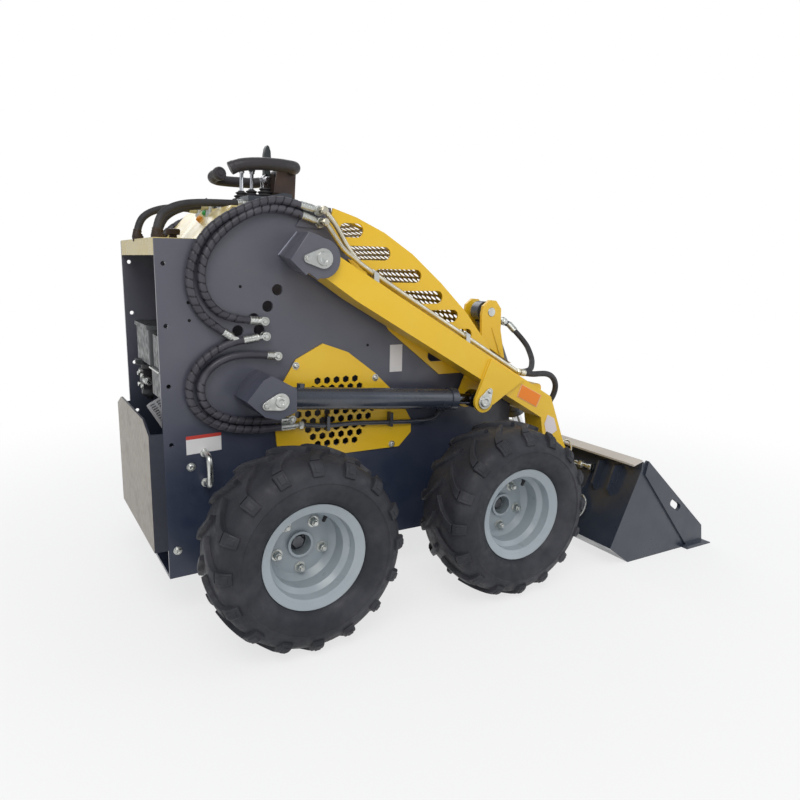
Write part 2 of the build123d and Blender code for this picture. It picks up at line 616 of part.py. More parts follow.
# The console that carries the levers, and the valve block beside it
CONSOLE = [(-40, deck_low), (-36, 968), (104, 1003), (124, 1000), (124, deck_low)]
console = slab(CONSOLE, -72, 72)
valve_block = slab([(-14, deck_low), (-14, 984), (72, 984), (72, deck_low)], -150, -84)
bridge_block = slab([(0, deck_low), (0, 972), (58, 972), (58, deck_low)], -85, -71)
console = console.fuse(valve_block, bridge_block)
write("console", console)


def route_radii(points):
    """The bend radius at each inner point of a route, as large as its two runs allow."""
    radii = []
    for before, here, after in zip(points, points[1:], points[2:]):
        run_in = Vector(*here) - Vector(*before)
        run_out = Vector(*after) - Vector(*here)
        half_turn = radians(run_in.get_angle(run_out)) / 2
        radii.append(0.45 * min(run_in.length, run_out.length) / tan(half_turn))
    return radii


def tube(points, radius, sides):
    """A tube of flat sides along straight runs that are joined by arcs."""
    radii = route_radii(points)
    path = FilletPolyline(*points, radius=radii)
    section = Plane(origin=path @ 0, z_dir=path % 0) * RegularPolygon(radius, sides)
    body = sweep(section, path=path)
    fill = body.volume / (section.area * path.length)
    print(f"length {path.length:.0f} fill {fill:.3f} radii {min(radii):.0f} to {max(radii):.0f}")
    return body


# The operator's handlebar, bent in from both sides, on its post
HANDLE_R = 16
HANDLE_SIDES = 12
handle_route = [(-64, -86, 1035), (-38, -120, 1061), (60, -121, 1071), (144, -112, 1069), (168, -72, 1070)]
handle_route += [(174, 72, 1079), (162, 112, 1079), (80, 121, 1074), (-14, 120, 1060), (-34, 96, 1052)]
handle_route += [(-30, 58, 1053)]
bar_tube = tube(handle_route, HANDLE_R, HANDLE_SIDES)
post = slab([(110, 1002), (120, 1066), (168, 1066), (152, deck_low), (124, deck_low), (124, 1000)], -56, 56)
post_room = slab([(98, 1000), (106, 1060), (160, 1060), (146, deck_low - 1), (125, deck_low - 1), (125, 1001)], -50, 50)
write("handlebar", bar_tube.fuse(post.cut(post_room)).cut(console))


def bellows(x, y, low, rings):
    """A rubber bellows of stacked cones, each as (lower radius, upper radius)."""
    level = low
    stack = []
    for lower, upper in rings:
        stack.append(Pos(x, y, level + 4) * Cone(lower, upper, 8))
        level += 8
    return stack[0].fuse(*stack[1:])


# Levers as (x, y, foot, top of the stem, top of the grip)
LEVERS = [(8, -30, 972, 1050, 1082), (44, 0, 980, 1054, 1084)]
levers = []
for x, y, foot, stem_top, grip_top in LEVERS:
    boot = bellows(x, y, foot, [(24, 20), (22, 16), (18, 12), (14, 9)])
    stem = bar((x, y, foot + 30), (x + 2, y, stem_top + 2), 5)
    grip = Pos(x + 2, y, (stem_top + grip_top) / 2) * Cone(8, 12, grip_top - stem_top)
    levers.append(boot.fuse(stem, grip).cut(console))
boot = bellows(92, 34, 992, [(25, 21), (23, 17), (19, 13), (15, 10)])
fork = slab([(82, 1018), (80, 1048), (100, 1052), (104, 1018)], 28, 40)
blade = slab([(86, 1046), (88, 1112), (95, 1128), (103, 1120), (106, 1088), (102, 1046)], 16, 48)
levers.append(boot.fuse(fork, blade).cut(console))
write("control_levers", *levers)

TIE_R = 7
TIE_OUT = -PLATE_OUT - 42
tie_route = [(-151, -PLATE_OUT, 401), (-151, TIE_OUT + 14, 401), (-151, TIE_OUT, 387), (-151, TIE_OUT, 344)]
tie_route += [(-151, TIE_OUT + 14, 330), (-151, -PLATE_OUT, 330)]
write("tie_downs", *both(tube(tie_route, TIE_R, HOSE_SIDES)))

# Hoses beside the chassis as routes of (x, z), all at the same distance out
SIDE_HOSES = {
    "upper_outer": [
        (64, 976), (22, 983), (-24, 975), (-70, 954), (-110, 926), (-145, 886), (-168, 838), (-176, 786),
        (-163, 736), (-132, 697), (-88, 678), (-46, 675),
    ],
    "upper_inner": [
        (34, 954), (-4, 957), (-42, 944), (-80, 919), (-115, 886), (-140, 846), (-150, 800), (-142, 757),
        (-115, 722), (-76, 706), (-40, 703),
    ],
    "lower_outer": [
        (0, 653), (-38, 655), (-76, 651), (-112, 641), (-144, 623), (-170, 597), (-184, 564), (-183, 528),
        (-167, 498), (-138, 474), (-102, 458), (-64, 449), (-24, 445), (16, 443), (54, 444),
    ],
    "lower_inner": [
        (31, 618), (-6, 622), (-42, 625), (-78, 624), (-112, 614), (-140, 594), (-158, 565), (-158, 532),
        (-143, 504), (-117, 485), (-85, 474), (-49, 468), (-10, 465), (30, 464),
    ],
}
for name, route in SIDE_HOSES.items():
    right_hose, left_hose = both(tube([(x, HOSE_Y, z) for x, z in route], HOSE_R, HOSE_SIDES))
    write(f"hose_{name}_right", right_hose)
    write(f"hose_{name}_left", left_hose)

# Hoses over the deck's rear, as routes of (x, y, z)
REAR_HOSES = {
    "near": [
        (-218, -135, 900), (-212, -134, 928), (-191, -131, 952), (-160, -128, 968), (-124, -126, 975), (-88, -124, 977),
        (-54, -122, 976), (-30, -121, 973),
    ],
    "middle": [(-204, -92, 900), (-197, -91, 920), (-178, -88, 938), (-152, -83, 950), (-126, -76, 957), (-104, -69, 959)],
    "far": [(-231, 20, 900), (-225, 24, 922), (-206, 30, 941), (-178, 37, 953), (-148, 43, 959), (-120, 47, 960), (-100, 50, 959)],
}
for name, route in REAR_HOSES.items():
    write(f"hose_rear_{name}", tube(route, HOSE_R, HOSE_SIDES))

# Hoses at the front of the boom, from the pipes' ends to the tilt cylinder and to the arm's inner face
FRONT_HOSES = {
    "tilt": [
        (742, PIPE_Y[0], 541), (775, -240, 539), (812, -215, 542), (845, -180, 547), (878, -142, 556),
        (903, -102, 572), (916, -62, 600), TILT_HOSE_END,
    ],
    "boom": [
        (742, PIPE_Y[1], 541), (776, -262, 534), (814, -254, 533), (852, -245, 529), (884, -235, 514),
        (904, -227, 488), (904, -221, 460), (890, -217, 434), (869, -216, 411),
    ],
}
for name, route in FRONT_HOSES.items():
    write(f"hose_{name}", tube(route, HOSE_R, HOSE_SIDES))


def out_of(route):
    """Where a ferrule ends that carries on from the first point of a hose's route, away from the hose."""
    start = Vector(*route[0])
    return start + (start - Vector(*route[1])).normalized() * FERRULE_L


def ferrule(route):
    return bar(route[0], out_of(route), FERRULE_R)


def on_side(name, last=False):
    """A side hose's route with its depth, from its first point or from its last."""
    route = [(x, HOSE_Y, z) for x, z in SIDE_HOSES[name]]
    return route[::-1] if last else route


def elbow(route, depth):
    """A ferrule and the fitting that turns the hose into the side plate, with a nut against the plate."""
    place = out_of(route)
    turn = barrel_y(place.X, place.Z, ELBOW_R, -PLATE_OUT, depth)
    return ferrule(route).fuse(turn, barrel_y(place.X, place.Z, NUT_R, -PLATE_OUT, -PLATE_OUT - 9))


ELBOW_END = HOSE_Y - ELBOW_R
SWIVEL_END = -238
swivels = [on_side("upper_outer"), on_side("upper_inner")]
tab = slab([(44, 930), (104, 930), (104, 980), (72, 984), (44, 962)], -PLATE_OUT, -PLATE_OUT - 4)
above_pivot = tab.fuse(*[elbow(route, SWIVEL_END) for route in swivels])
cover = side_cover()
elbow_routes = [on_side("upper_outer", True), on_side("upper_inner", True), on_side("lower_outer")]
elbow_routes += [on_side("lower_inner"), on_side("lower_inner", True)]
elbows = [elbow(route, ELBOW_END).cut(cover) for route in elbow_routes]

# A steel pipe that carries the lowest hose on along the plate, in two clamps
pipe_start = out_of(on_side("lower_outer", True))
STEEL_ROUTE = [(150, 437), (220, 438), (300, 431), (423, 423), (468, 424), (490, 450)]
steel_route = [(pipe_start.X - 2, HOSE_Y, pipe_start.Z)] + [(x, HOSE_Y, z) for x, z in STEEL_ROUTE]
steel_end = barrel_y(490, 450, FERRULE_R, -PLATE_OUT, ELBOW_END)
PIPE_CLAMPS = [(150, 437), (330, 430)]
clamps = []
for x, z in PIPE_CLAMPS:
    outline = [(x - 9, z - 10), (x - 9, z + 10), (x + 9, z + 10), (x + 9, z - 10)]
    clamps.append(slab(outline, -PLATE_OUT - SHEET_T, HOSE_Y - 9))
steel_pipe = tube(steel_route, PIPE_R, HOSE_SIDES).fuse(ferrule(on_side("lower_outer", True)), steel_end, *clamps)

# What holds the rear hoses: feet on the deck, two posts on its slope and the valve block
feet = []
for route in REAR_HOSES.values():
    x, y, z = route[0]
    base = bar((x, y, DECK_Z + SHEET_T), (x, y, DECK_Z + SHEET_T + 12), 12)
    feet.append(base.fuse(ferrule(route)).cut(deck))
for name in ("middle", "far"):
    route = REAR_HOSES[name][::-1]
    place = out_of(route)
    post = bar((place.X, place.Y, 920), (place.X, place.Y, 971), 11)
    feet.append(post.fuse(ferrule(route)).cut(deck).solids().sort_by(Axis.Z)[-1])
feet.append(ferrule(REAR_HOSES["near"][::-1]).cut(console))
write("hose_fittings", *both(above_pivot), *[s for e in elbows for s in both(e)], *both(steel_pipe), *feet)

# Steel pipes on the boom: from the swivels down to the arm's top, along it, and to a ferrule or a coupler
ARM_SLOPE = (833 - 474) / (812 - 173)
PIPE_LIFT = 24


def pipe_height(x):
    """The height of a pipe's middle where it runs along the arm's sloping top."""
    return 833 - (x - 173) * ARM_SLOPE + PIPE_LIFT


# Bends of the two pipes as (x, y, z), between the swivel and the arm's top
PIPE_BENDS = [
    [(130, -247, 948), (162, -247, 920), (188, -247, 882), (212, -247, 848), (244, -247, pipe_height(244))],
    [(104, -249, 938), (140, -253, 914), (168, -258, 880), (192, -262, 854), (220, -265, pipe_height(220))],
]
pipes = []
for swivel, y, bends, hose in zip(swivels, PIPE_Y, PIPE_BENDS, FRONT_HOSES.values()):
    boss_at = out_of(swivel)
    boss = barrel_y(boss_at.X, boss_at.Z, HOSE_R, SWIVEL_END - 2, SWIVEL_END - 18)
    end = out_of(hose)
    route = [(boss_at.X + 4, PIPE_Y[0], boss_at.Z - 1)] + bends + [(end.X + 2, end.Y, end.Z)]
    pipes.append(tube(route, PIPE_R, HOSE_SIDES).fuse(boss, ferrule(hose)))
CLAMP_X = (258, 560)
CLAMP_H = 33
for x in CLAMP_X:
    low_a, low_b = pipe_height(x - 9) - PIPE_LIFT, pipe_height(x + 9) - PIPE_LIFT
    outline = [(x - 9, low_a), (x - 9, low_a + CLAMP_H), (x + 9, low_b + CLAMP_H), (x + 9, low_b)]
    pipes.append(slab(outline, -238, -276))
right_pipes = pipes[0].fuse(*pipes[1:])
coupler = slab([(738, 549), (772, 532), (764, 508), (730, 525)], 235.5, 276.5)
left_pipes = mirror(right_pipes, about=Plane.XZ).fuse(coupler)
boom_end = FRONT_HOSES["boom"][::-1]
arm_elbow_at = out_of(boom_end)
arm_elbow = ferrule(boom_end).fuse(barrel_y(arm_elbow_at.X, arm_elbow_at.Z, ELBOW_R, -ARM_IN, -205))
write("boom_pipes", right_pipes, left_pipes, arm_elbow)
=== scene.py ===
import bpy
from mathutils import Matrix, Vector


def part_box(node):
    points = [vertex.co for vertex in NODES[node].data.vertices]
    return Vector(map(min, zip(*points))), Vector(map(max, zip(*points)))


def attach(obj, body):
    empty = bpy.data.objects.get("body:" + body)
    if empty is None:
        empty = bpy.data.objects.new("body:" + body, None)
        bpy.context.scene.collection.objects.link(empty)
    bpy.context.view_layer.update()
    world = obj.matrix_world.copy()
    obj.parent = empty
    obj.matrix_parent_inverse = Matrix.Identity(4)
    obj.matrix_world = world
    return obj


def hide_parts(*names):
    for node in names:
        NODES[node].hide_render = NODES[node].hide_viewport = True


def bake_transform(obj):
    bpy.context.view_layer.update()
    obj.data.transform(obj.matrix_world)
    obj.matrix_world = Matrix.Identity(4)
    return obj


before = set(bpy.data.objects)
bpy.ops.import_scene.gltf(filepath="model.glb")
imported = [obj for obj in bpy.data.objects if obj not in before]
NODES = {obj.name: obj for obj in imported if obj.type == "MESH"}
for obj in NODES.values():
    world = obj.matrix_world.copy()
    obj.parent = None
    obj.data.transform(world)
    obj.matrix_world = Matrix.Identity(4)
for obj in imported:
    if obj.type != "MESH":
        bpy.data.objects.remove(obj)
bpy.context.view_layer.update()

from math import asin, atan2, cos, hypot, pi, radians, sin

import bmesh
import bpy
from mathutils import Matrix, Vector

# Sizes are millimetres: x forward from the rear axle, y to the left, z up from the ground.
MM = 0.001
scene = bpy.context.scene
UP = Vector((0, 0, 1))

hub_low, hub_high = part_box("rim_rear_right")
front_low, front_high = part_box("rim_front_right")
AXLE = Vector(((hub_low.x + hub_high.x) / 2, 0, 0))
WHEELBASE = ((front_low.x + front_high.x) / 2 - AXLE.x) / MM
AXLE_Z = (hub_low.z + hub_high.z) / 2 / MM
WHEEL_Y = 428
PLATE_OUT = 213
ARM_IN = 235
ARM_OUT = 308
SIDES = (("right", -1), ("left", 1))


def at(x, y, z):
    """A point of the drawing in the scene's metres."""
    return AXLE + Vector((x, y, z)) * MM


# Each wheel's name, its side and its centre
WHEELS = [
    (f"{end}_{name}", side, at(x, side * WHEEL_Y, AXLE_Z))
    for end, x in (("rear", 0), ("front", WHEELBASE)) for name, side in SIDES
]


def srgb(red, green, blue):
    """A colour seen on a screen, 0 to 255, as the linear values of a shader."""
    linear = []
    for value in (red / 255, green / 255, blue / 255):
        linear.append(value / 12.92 if value <= 0.04045 else ((value + 0.055) / 1.055) ** 2.4)
    return (*linear, 1)


# The record's slots, with the finishes of other names that belong to each
FINISHES_IN = {
    "rubber": "rubber_wrap",
    "black_plastic": "foam_grip dark_hole amber_glass green_glass moulded_case filler_plastic",
    "bare_sheet": "pan_sheet slotted_guard",
    "yellow_paint": "weld deck_paint",
    "slate_paint": "bucket_paint worn_edge",
    "chrome_rod": "shaded_chrome_rod",
    "zinc": "pipe_zinc hub_steel",
    "black_paint": "post_paint",
    "rim_paint": "plate_amber blank_plate plate_red_band plate_orange plate_lilac",
}
SLOT_OF = {name: slot for slot, names in FINISHES_IN.items() for name in names.split()}
COAT_ROUGH = 0.18


# Materials
def add_node(tree, kind, inputs=None, **settings):
    """A shader node with its settings and the values of its inputs."""
    made = tree.nodes.new("ShaderNode" + kind)
    for key, value in settings.items():
        setattr(made, key, value)
    for key, value in (inputs or {}).items():
        made.inputs[key].default_value = value
    return made


class Skin:
    """A procedural material: a base shader and the nodes that vary it."""

    def __init__(self, name, colour, rough, metal=0.0, coat=0.0, specular=0.5):
        self.slot = SLOT_OF.get(name, name)
        self.mat = bpy.data.materials.new("skin_" + name)
        self.mat.use_nodes = True
        self.tree = self.mat.node_tree
        self.shader = self.tree.nodes["Principled BSDF"]
        self.base = srgb(*colour)
        values = {
            "Base Color": self.base, "Roughness": rough, "Metallic": metal,
            "Coat Weight": coat, "Coat Roughness": COAT_ROUGH, "Specular IOR Level": specular,
        }
        for key, value in values.items():
            self.shader.inputs[key].default_value = value
        self.coords = self.node("TexCoord").outputs["Object"]
        self.colour = None
        self.normal = None

    def node(self, kind, inputs=None, **settings):
        return add_node(self.tree, kind, inputs, **settings)

    def link(self, source, target):
        self.tree.links.new(source, target)

    def noise(self, scale, detail=4.0, stretch=(1, 1, 1)):
        """A noise field, stretched along an axis where asked."""
        mapping = self.node("Mapping", {"Scale": stretch})
        self.link(self.coords, mapping.inputs["Vector"])
        field = self.node("TexNoise", {"Scale": scale, "Detail": detail})
        self.link(mapping.outputs["Vector"], field.inputs["Vector"])
        return field.outputs["Fac"]

    def ramp(self, field, low, high, to_low=0.0, to_high=1.0):
        """A field remapped between two thresholds."""
        values = {"From Min": low, "From Max": high, "To Min": to_low, "To Max": to_high}
        spread = self.node("MapRange", values, interpolation_type="SMOOTHSTEP")
        self.link(field, spread.inputs["Value"])
        return spread.outputs["Result"]

    def tint(self, mask, colour):
        """Mixes a second colour in where the mask is one."""
        mix = self.node("Mix", data_type="RGBA")
        self.link(mask, mix.inputs["Factor"])
        if self.colour is None:
            mix.inputs["A"].default_value = self.base
        else:
            self.link(self.colour, mix.inputs["A"])
        mix.inputs["B"].default_value = srgb(*colour)
        self.colour = mix.outputs["Result"]
        self.link(self.colour, self.shader.inputs["Base Color"])

    def roughen(self, field, low, high):
        """Roughness from low to high over a field."""
        self.link(self.ramp(field, 0.3, 0.7, low, high), self.shader.inputs["Roughness"])

    def bump(self, field, height, rounding=0.0):
        """Relief of a height in millimetres over rounded edges."""
        relief = self.node("Bump", {"Distance": height * MM})
        self.link(field, relief.inputs["Height"])
        if self.normal is not None:
            self.link(self.normal, relief.inputs["Normal"])
        elif rounding:
            edge = self.node("Bevel", {"Radius": rounding * MM}, samples=4)
            self.link(edge.outputs["Normal"], relief.inputs["Normal"])
        self.normal = relief.outputs["Normal"]
        self.link(self.normal, self.shader.inputs["Normal"])

    def height_fade(self, low, high):
        """A mask that is one at the low height and zero at the high one, in millimetres."""
        parts = self.node("SeparateXYZ")
        self.link(self.coords, parts.inputs["Vector"])
        return self.ramp(parts.outputs["Z"], low * MM, high * MM, 1.0, 0.0)


def paint(name, colour, chalk, rough=0.38, coat=0.35, edge=1.2):
    """Factory paint: faint cloudiness, dust, orange peel and rounded edges."""
    skin = Skin(name, colour, rough, coat=coat)
    skin.tint(skin.ramp(skin.noise(7, 5), 0.42, 0.75, 0.0, 0.35), chalk)
    skin.tint(skin.ramp(skin.noise(95, 6), 0.62, 0.8, 0.0, 0.25), chalk)
    skin.roughen(skin.noise(22, 5), rough - 0.07, rough + 0.12)
    skin.bump(skin.noise(420, 2), 0.12, rounding=edge)
    return skin


def metal(name, colour, rough, grain, scale, dark):
    """Bare or plated metal with a grain."""
    skin = Skin(name, colour, rough, metal=1.0)
    skin.tint(skin.ramp(skin.noise(14, 5), 0.45, 0.8, 0.0, 0.45), dark)
    skin.roughen(skin.noise(scale, 4, grain), rough - 0.1, rough + 0.15)
    skin.bump(skin.noise(scale, 4, grain), 0.05, rounding=0.8)
    return skin


def rubber(name, colour, dust, rough=0.62, dust_share=0.4, relief=0.15):
    """Rubber or plastic with a dusty bloom."""
    skin = Skin(name, colour, rough, specular=0.35)
    skin.tint(skin.ramp(skin.noise(11, 6), 0.4, 0.75, 0.0, dust_share), dust)
    skin.roughen(skin.noise(60, 5), rough - 0.1, rough + 0.12)
    skin.bump(skin.noise(300, 4), relief, rounding=0.8)
    return skin


def pan_sheet():
    """The rear pan: bare sheet on its rear face, dark paint on the sides and the inside."""
    skin = metal("pan_sheet", (150, 143, 134), 0.42, (1, 9, 1), 60, (112, 104, 94))
    geometry = skin.node("NewGeometry")
    parts = skin.node("SeparateXYZ")
    skin.link(geometry.outputs["Normal"], parts.inputs["Vector"])
    painted = skin.ramp(parts.outputs["X"], -0.8, -0.6)
    skin.tint(painted, (46, 49, 62))
    skin.link(skin.ramp(painted, 0, 1, 1, 0), skin.shader.inputs["Metallic"])
    return skin


EVEN = (1, 1, 1)
SLATE = paint("slate_paint", (87, 87, 98), (104, 102, 109), rough=0.36)
# The side plates darken towards the ground: painted shade on their lower part.
SLATE.tint(SLATE.height_fade(220, 800), (42, 51, 72))
BUCKET = paint("bucket_paint", (47, 54, 67), (66, 71, 82), rough=0.34)
YELLOW = paint("yellow_paint", (238, 192, 30), (240, 202, 62), coat=0.4)
# The deck's yellow paint made pale cream: painted light, a lit copy of the yellow paint.
LIT_DECK_YELLOW = paint("deck_paint", (228, 204, 124), (236, 226, 190), rough=0.32, coat=0.5)
BLACK = paint("black_paint", (50, 55, 66), (76, 82, 94), rough=0.26, coat=0.6)
RIM = paint("rim_paint", (158, 168, 174), (176, 184, 188), rough=0.34, coat=0.3, edge=1.5)
FLANGE = paint("flange_paint", (206, 199, 190), (178, 170, 160), rough=0.5, coat=0.1)
ENGINE = paint("engine_grey", (34, 34, 38), (58, 58, 62), rough=0.45, coat=0.1)
PAN = pan_sheet()
ZINC = metal("zinc", (205, 207, 203), 0.34, EVEN, 90, (150, 152, 150))
CHROME = metal("chrome_rod", (225, 226, 230), 0.14, (30, 1, 30), 20, (190, 190, 196))
# The lift rods' chrome made dark grey: painted shade standing for the dark reflections in the chrome.
SHADED_ROD = metal("shaded_chrome_rod", (92, 96, 106), 0.2, (30, 1, 30), 20, (60, 63, 72))
TYRE = rubber("tyre_rubber", (43, 44, 50), (76, 76, 82), rough=0.55, dust_share=0.55)
RUBBER = rubber("rubber", (52, 51, 54), (84, 81, 82), dust_share=0.4)
PLASTIC = rubber("black_plastic", (34, 34, 37), (58, 57, 58), rough=0.45, dust_share=0.25)
WRAP = rubber("rubber_wrap", (62, 61, 68), (104, 102, 110), rough=0.38, dust_share=0.5)
# The wrap's grooves are tinted near black: painted shade in the gaps between the bands.
seam_shade = WRAP.node("Attribute", attribute_name="seam_shade")
WRAP.tint(seam_shade.outputs["Fac"], (20, 19, 24))
FOAM = rubber("foam_grip", (56, 53, 56), (92, 88, 90), rough=0.42, dust_share=0.45, relief=0.15)
CASE = rubber("moulded_case", (52, 56, 58), (76, 80, 82), rough=0.36, dust_share=0.35)
GUARD = paint("slotted_guard", (206, 206, 210), (180, 180, 186), rough=0.4)
# Near black for the insides of holes: painted shade.
HOLE_SHADE = rubber("dark_hole", (12, 12, 14), (20, 20, 22), rough=0.8, dust_share=0.2)
AMBER = rubber("amber_glass", (236, 150, 44), (240, 180, 90), rough=0.25, dust_share=0.2, relief=0.02)
GREEN = rubber("green_glass", (52, 160, 84), (110, 190, 120), rough=0.25, dust_share=0.2, relief=0.02)
WELD = paint("weld", (224, 182, 48), (238, 206, 90), rough=0.45, coat=0.2)
PIPE = metal("pipe_zinc", (214, 208, 190), 0.3, EVEN, 70, (170, 164, 146))
HUB = metal("hub_steel", (96, 98, 102), 0.4, EVEN, 90, (50, 50, 54))
CAP = rubber("filler_plastic", (52, 40, 34), (84, 70, 60), rough=0.5, dust_share=0.3)
POST_PAINT = paint("post_paint", (58, 48, 44), (128, 84, 56), rough=0.5, coat=0.1)
PLATE_AMBER = rubber("plate_amber", (236, 176, 120), (226, 170, 118), rough=0.4, dust_share=0.2)
# A paler slate for thin rods along the bracket walls' feet: painted highlight.
EDGE_HIGHLIGHT = paint("worn_edge", (140, 144, 160), (168, 170, 182), rough=0.4)
PLATE_WHITE = rubber("blank_plate", (222, 220, 220), (200, 198, 198), rough=0.4, dust_share=0.2)
PLATE_RED = rubber("plate_red_band", (196, 66, 58), (180, 70, 62), rough=0.4, dust_share=0.2)
PLATE_ORANGE = rubber("plate_orange", (248, 138, 44), (240, 146, 72), rough=0.4, dust_share=0.2)
PLATE_LILAC = rubber("plate_lilac", (228, 218, 220), (210, 202, 206), rough=0.4, dust_share=0.2)


# Mesh building
LEAST_R = 0.02


def ring_frame(direction):
    """Two unit vectors square to a direction."""
    direction = direction.normalized()
    start = Vector((0, 0, 1)) if abs(direction.z) < 0.9 else Vector((1, 0, 0))
    side = direction.cross(start).normalized()
    return side, direction.cross(side).normalized()


def bridge(bm, rings, wrap=False):
    """Quads between rings of vertices, with end faces unless the last ring meets the first."""
    pairs = list(zip(rings, rings[1:]))
    if wrap:
        pairs.append((rings[-1], rings[0]))
    for near, far in pairs:
        count = len(near)
        for i in range(count):
            j = (i + 1) % count
            bm.faces.new((near[i], near[j], far[j], far[i]))
    if not wrap:
        bm.faces.new(list(reversed(rings[0])))
        bm.faces.new(rings[-1])


def lathe(bm, origin, axis, profile, sides=32, wrap=False, turn=0.0):
    """A turned solid, or a turned ring if wrap: profile is (distance along the axis, radius)."""
    axis = Vector(axis).normalized()
    side, up = ring_frame(axis)
    angles = [turn + 2 * pi * i / sides for i in range(sides)]
    rings = []
    for along, radius in profile:
        centre = origin + axis * along * MM
        reach = max(radius, LEAST_R)
        rings.append([bm.verts.new(centre + (side * cos(a) + up * sin(a)) * reach * MM) for a in angles])
    bridge(bm, rings, wrap)


def rod(bm, start, end, radius, sides=20, edge=0.6):
    """A round bar with softened ends between two points."""
    length = (end - start).length / MM
    profile = [(0, radius - edge), (edge, radius), (length - edge, radius), (length, radius - edge)]
    lathe(bm, start, end - start, profile, sides)


def plate(bm, outline, y_a, y_b):
    """A plate with an outline of (x, z) corners between two y values."""
    near = [bm.verts.new(at(x, y_a, z)) for x, z in outline]
    far = [bm.verts.new(at(x, y_b, z)) for x, z in outline]
    bridge(bm, [near, far])


def tube(bm, points, radius, sides=16, closed=False, radius_at=None):
    """A tube along points in metres; radius_at gives a radius for each ring and side."""
    rings = []
    count = len(points)
    side = None
    for i, point in enumerate(points):
        if closed:
            direction = points[(i + 1) % count] - points[i - 1]
        else:
            direction = points[min(i + 1, count - 1)] - points[max(i - 1, 0)]
        direction.normalize()
        if side is None:
            side, _ = ring_frame(direction)
        side = (side - direction * side.dot(direction)).normalized()
        up = direction.cross(side)
        ring = []
        for k in range(sides):
            turn = 2 * pi * k / sides
            r = radius_at(i, turn) if radius_at else radius
            ring.append(bm.verts.new(point + (side * cos(turn) + up * sin(turn)) * r * MM))
        rings.append(ring)
    bridge(bm, rings, closed)


def nut(bm, centre, axis, across, height, turn=0.0):
    """A hexagon nut or bolt head with a chamfer."""
    corner = across / 1.732
    profile = [(0, corner), (height * 0.8, corner), (height, across / 2.1)]
    lathe(bm, centre, axis, profile, 6, turn=turn)


def arc_points(points, steps=6):
    """A polyline of vectors with its corners rounded by curves through the middles of its runs."""
    smooth = [points[0]]
    for before, corner, after in zip(points, points[1:], points[2:]):
        start = (before + corner) / 2
        end = (corner + after) / 2
        for i in range(steps + 1):
            t = i / steps
            smooth.append(start * (1 - t) ** 2 + corner * 2 * t * (1 - t) + end * t ** 2)
    smooth.append(points[-1])
    clean = [smooth[0]]
    for point in smooth[1:]:
        if (point - clean[-1]).length > 0.05 * MM:
            clean.append(point)
    return clean


def piece(name, bm, skin, body, replaces=(), crease=35, bevel=0.0):
    """Turns a built mesh into a piece of the machine that rides on a body, where one is given."""
    bmesh.ops.recalc_face_normals(bm, faces=bm.faces)
    mesh = bpy.data.meshes.new(name)
    bm.to_mesh(mesh)
    bm.free()
    mesh.materials.append(skin.mat)
    mesh.polygons.foreach_set("use_smooth", [True] * len(mesh.polygons))
    mesh.set_sharp_from_angle(angle=radians(crease))
    made = bpy.data.objects.new(name, mesh)
    scene.collection.objects.link(made)
    if bevel:
        rounding = made.modifiers.new("edges", "BEVEL")
        rounding.width = bevel * MM
        rounding.segments = 2
        rounding.limit_method = "ANGLE"
    if body:
        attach(made, body)
    if replaces:
        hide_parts(*replaces)
    return made


# The stage and the camera
LAMP_AIM = Vector((0, 0, 0.5))


def new_tree(owner):
    """The emptied node tree of a material or world, and a function that links its sockets."""
    owner.use_nodes = True
    owner.node_tree.nodes.clear()
    return owner.node_tree, owner.node_tree.links.new


def make_floor():
    """A pale floor that melts into the white surround for the camera and for reflections."""
    mesh = bpy.data.meshes.new("floor")
    size = 40
    corners = [(-size, -size, 0), (size, -size, 0), (size, size, 0), (-size, size, 0)]
    mesh.from_pydata(corners, [], [(0, 1, 2, 3)])
    floor = bpy.data.objects.new("floor", mesh)
    scene.collection.objects.link(floor)
    skin = bpy.data.materials.new("floor")
    tree, link = new_tree(skin)
    output = add_node(tree, "OutputMaterial")
    diffuse = add_node(tree, "BsdfDiffuse", {"Color": (0.82, 0.82, 0.82, 1)})
    glow = add_node(tree, "Emission")
    rays = add_node(tree, "LightPath")
    seen = add_node(tree, "Math", operation="MAXIMUM")
    link(rays.outputs["Is Camera Ray"], seen.inputs[0])
    link(rays.outputs["Is Glossy Ray"], seen.inputs[1])
    coords = add_node(tree, "TexCoord")
    length = add_node(tree, "VectorMath", operation="LENGTH")
    link(coords.outputs["Object"], length.inputs[0])
    reach = {"From Min": 0.9, "From Max": 2.4, "To Min": 0.72}
    fade = add_node(tree, "MapRange", reach, interpolation_type="SMOOTHSTEP")
    link(length.outputs["Value"], fade.inputs["Value"])
    share = add_node(tree, "Math", operation="MULTIPLY")
    link(fade.outputs["Result"], share.inputs[0])
    link(seen.outputs["Value"], share.inputs[1])
    mix = add_node(tree, "MixShader")
    link(share.outputs["Value"], mix.inputs["Fac"])
    link(diffuse.outputs["BSDF"], mix.inputs[1])
    link(glow.outputs["Emission"], mix.inputs[2])
    link(mix.outputs["Shader"], output.inputs["Surface"])
    mesh.materials.append(skin)


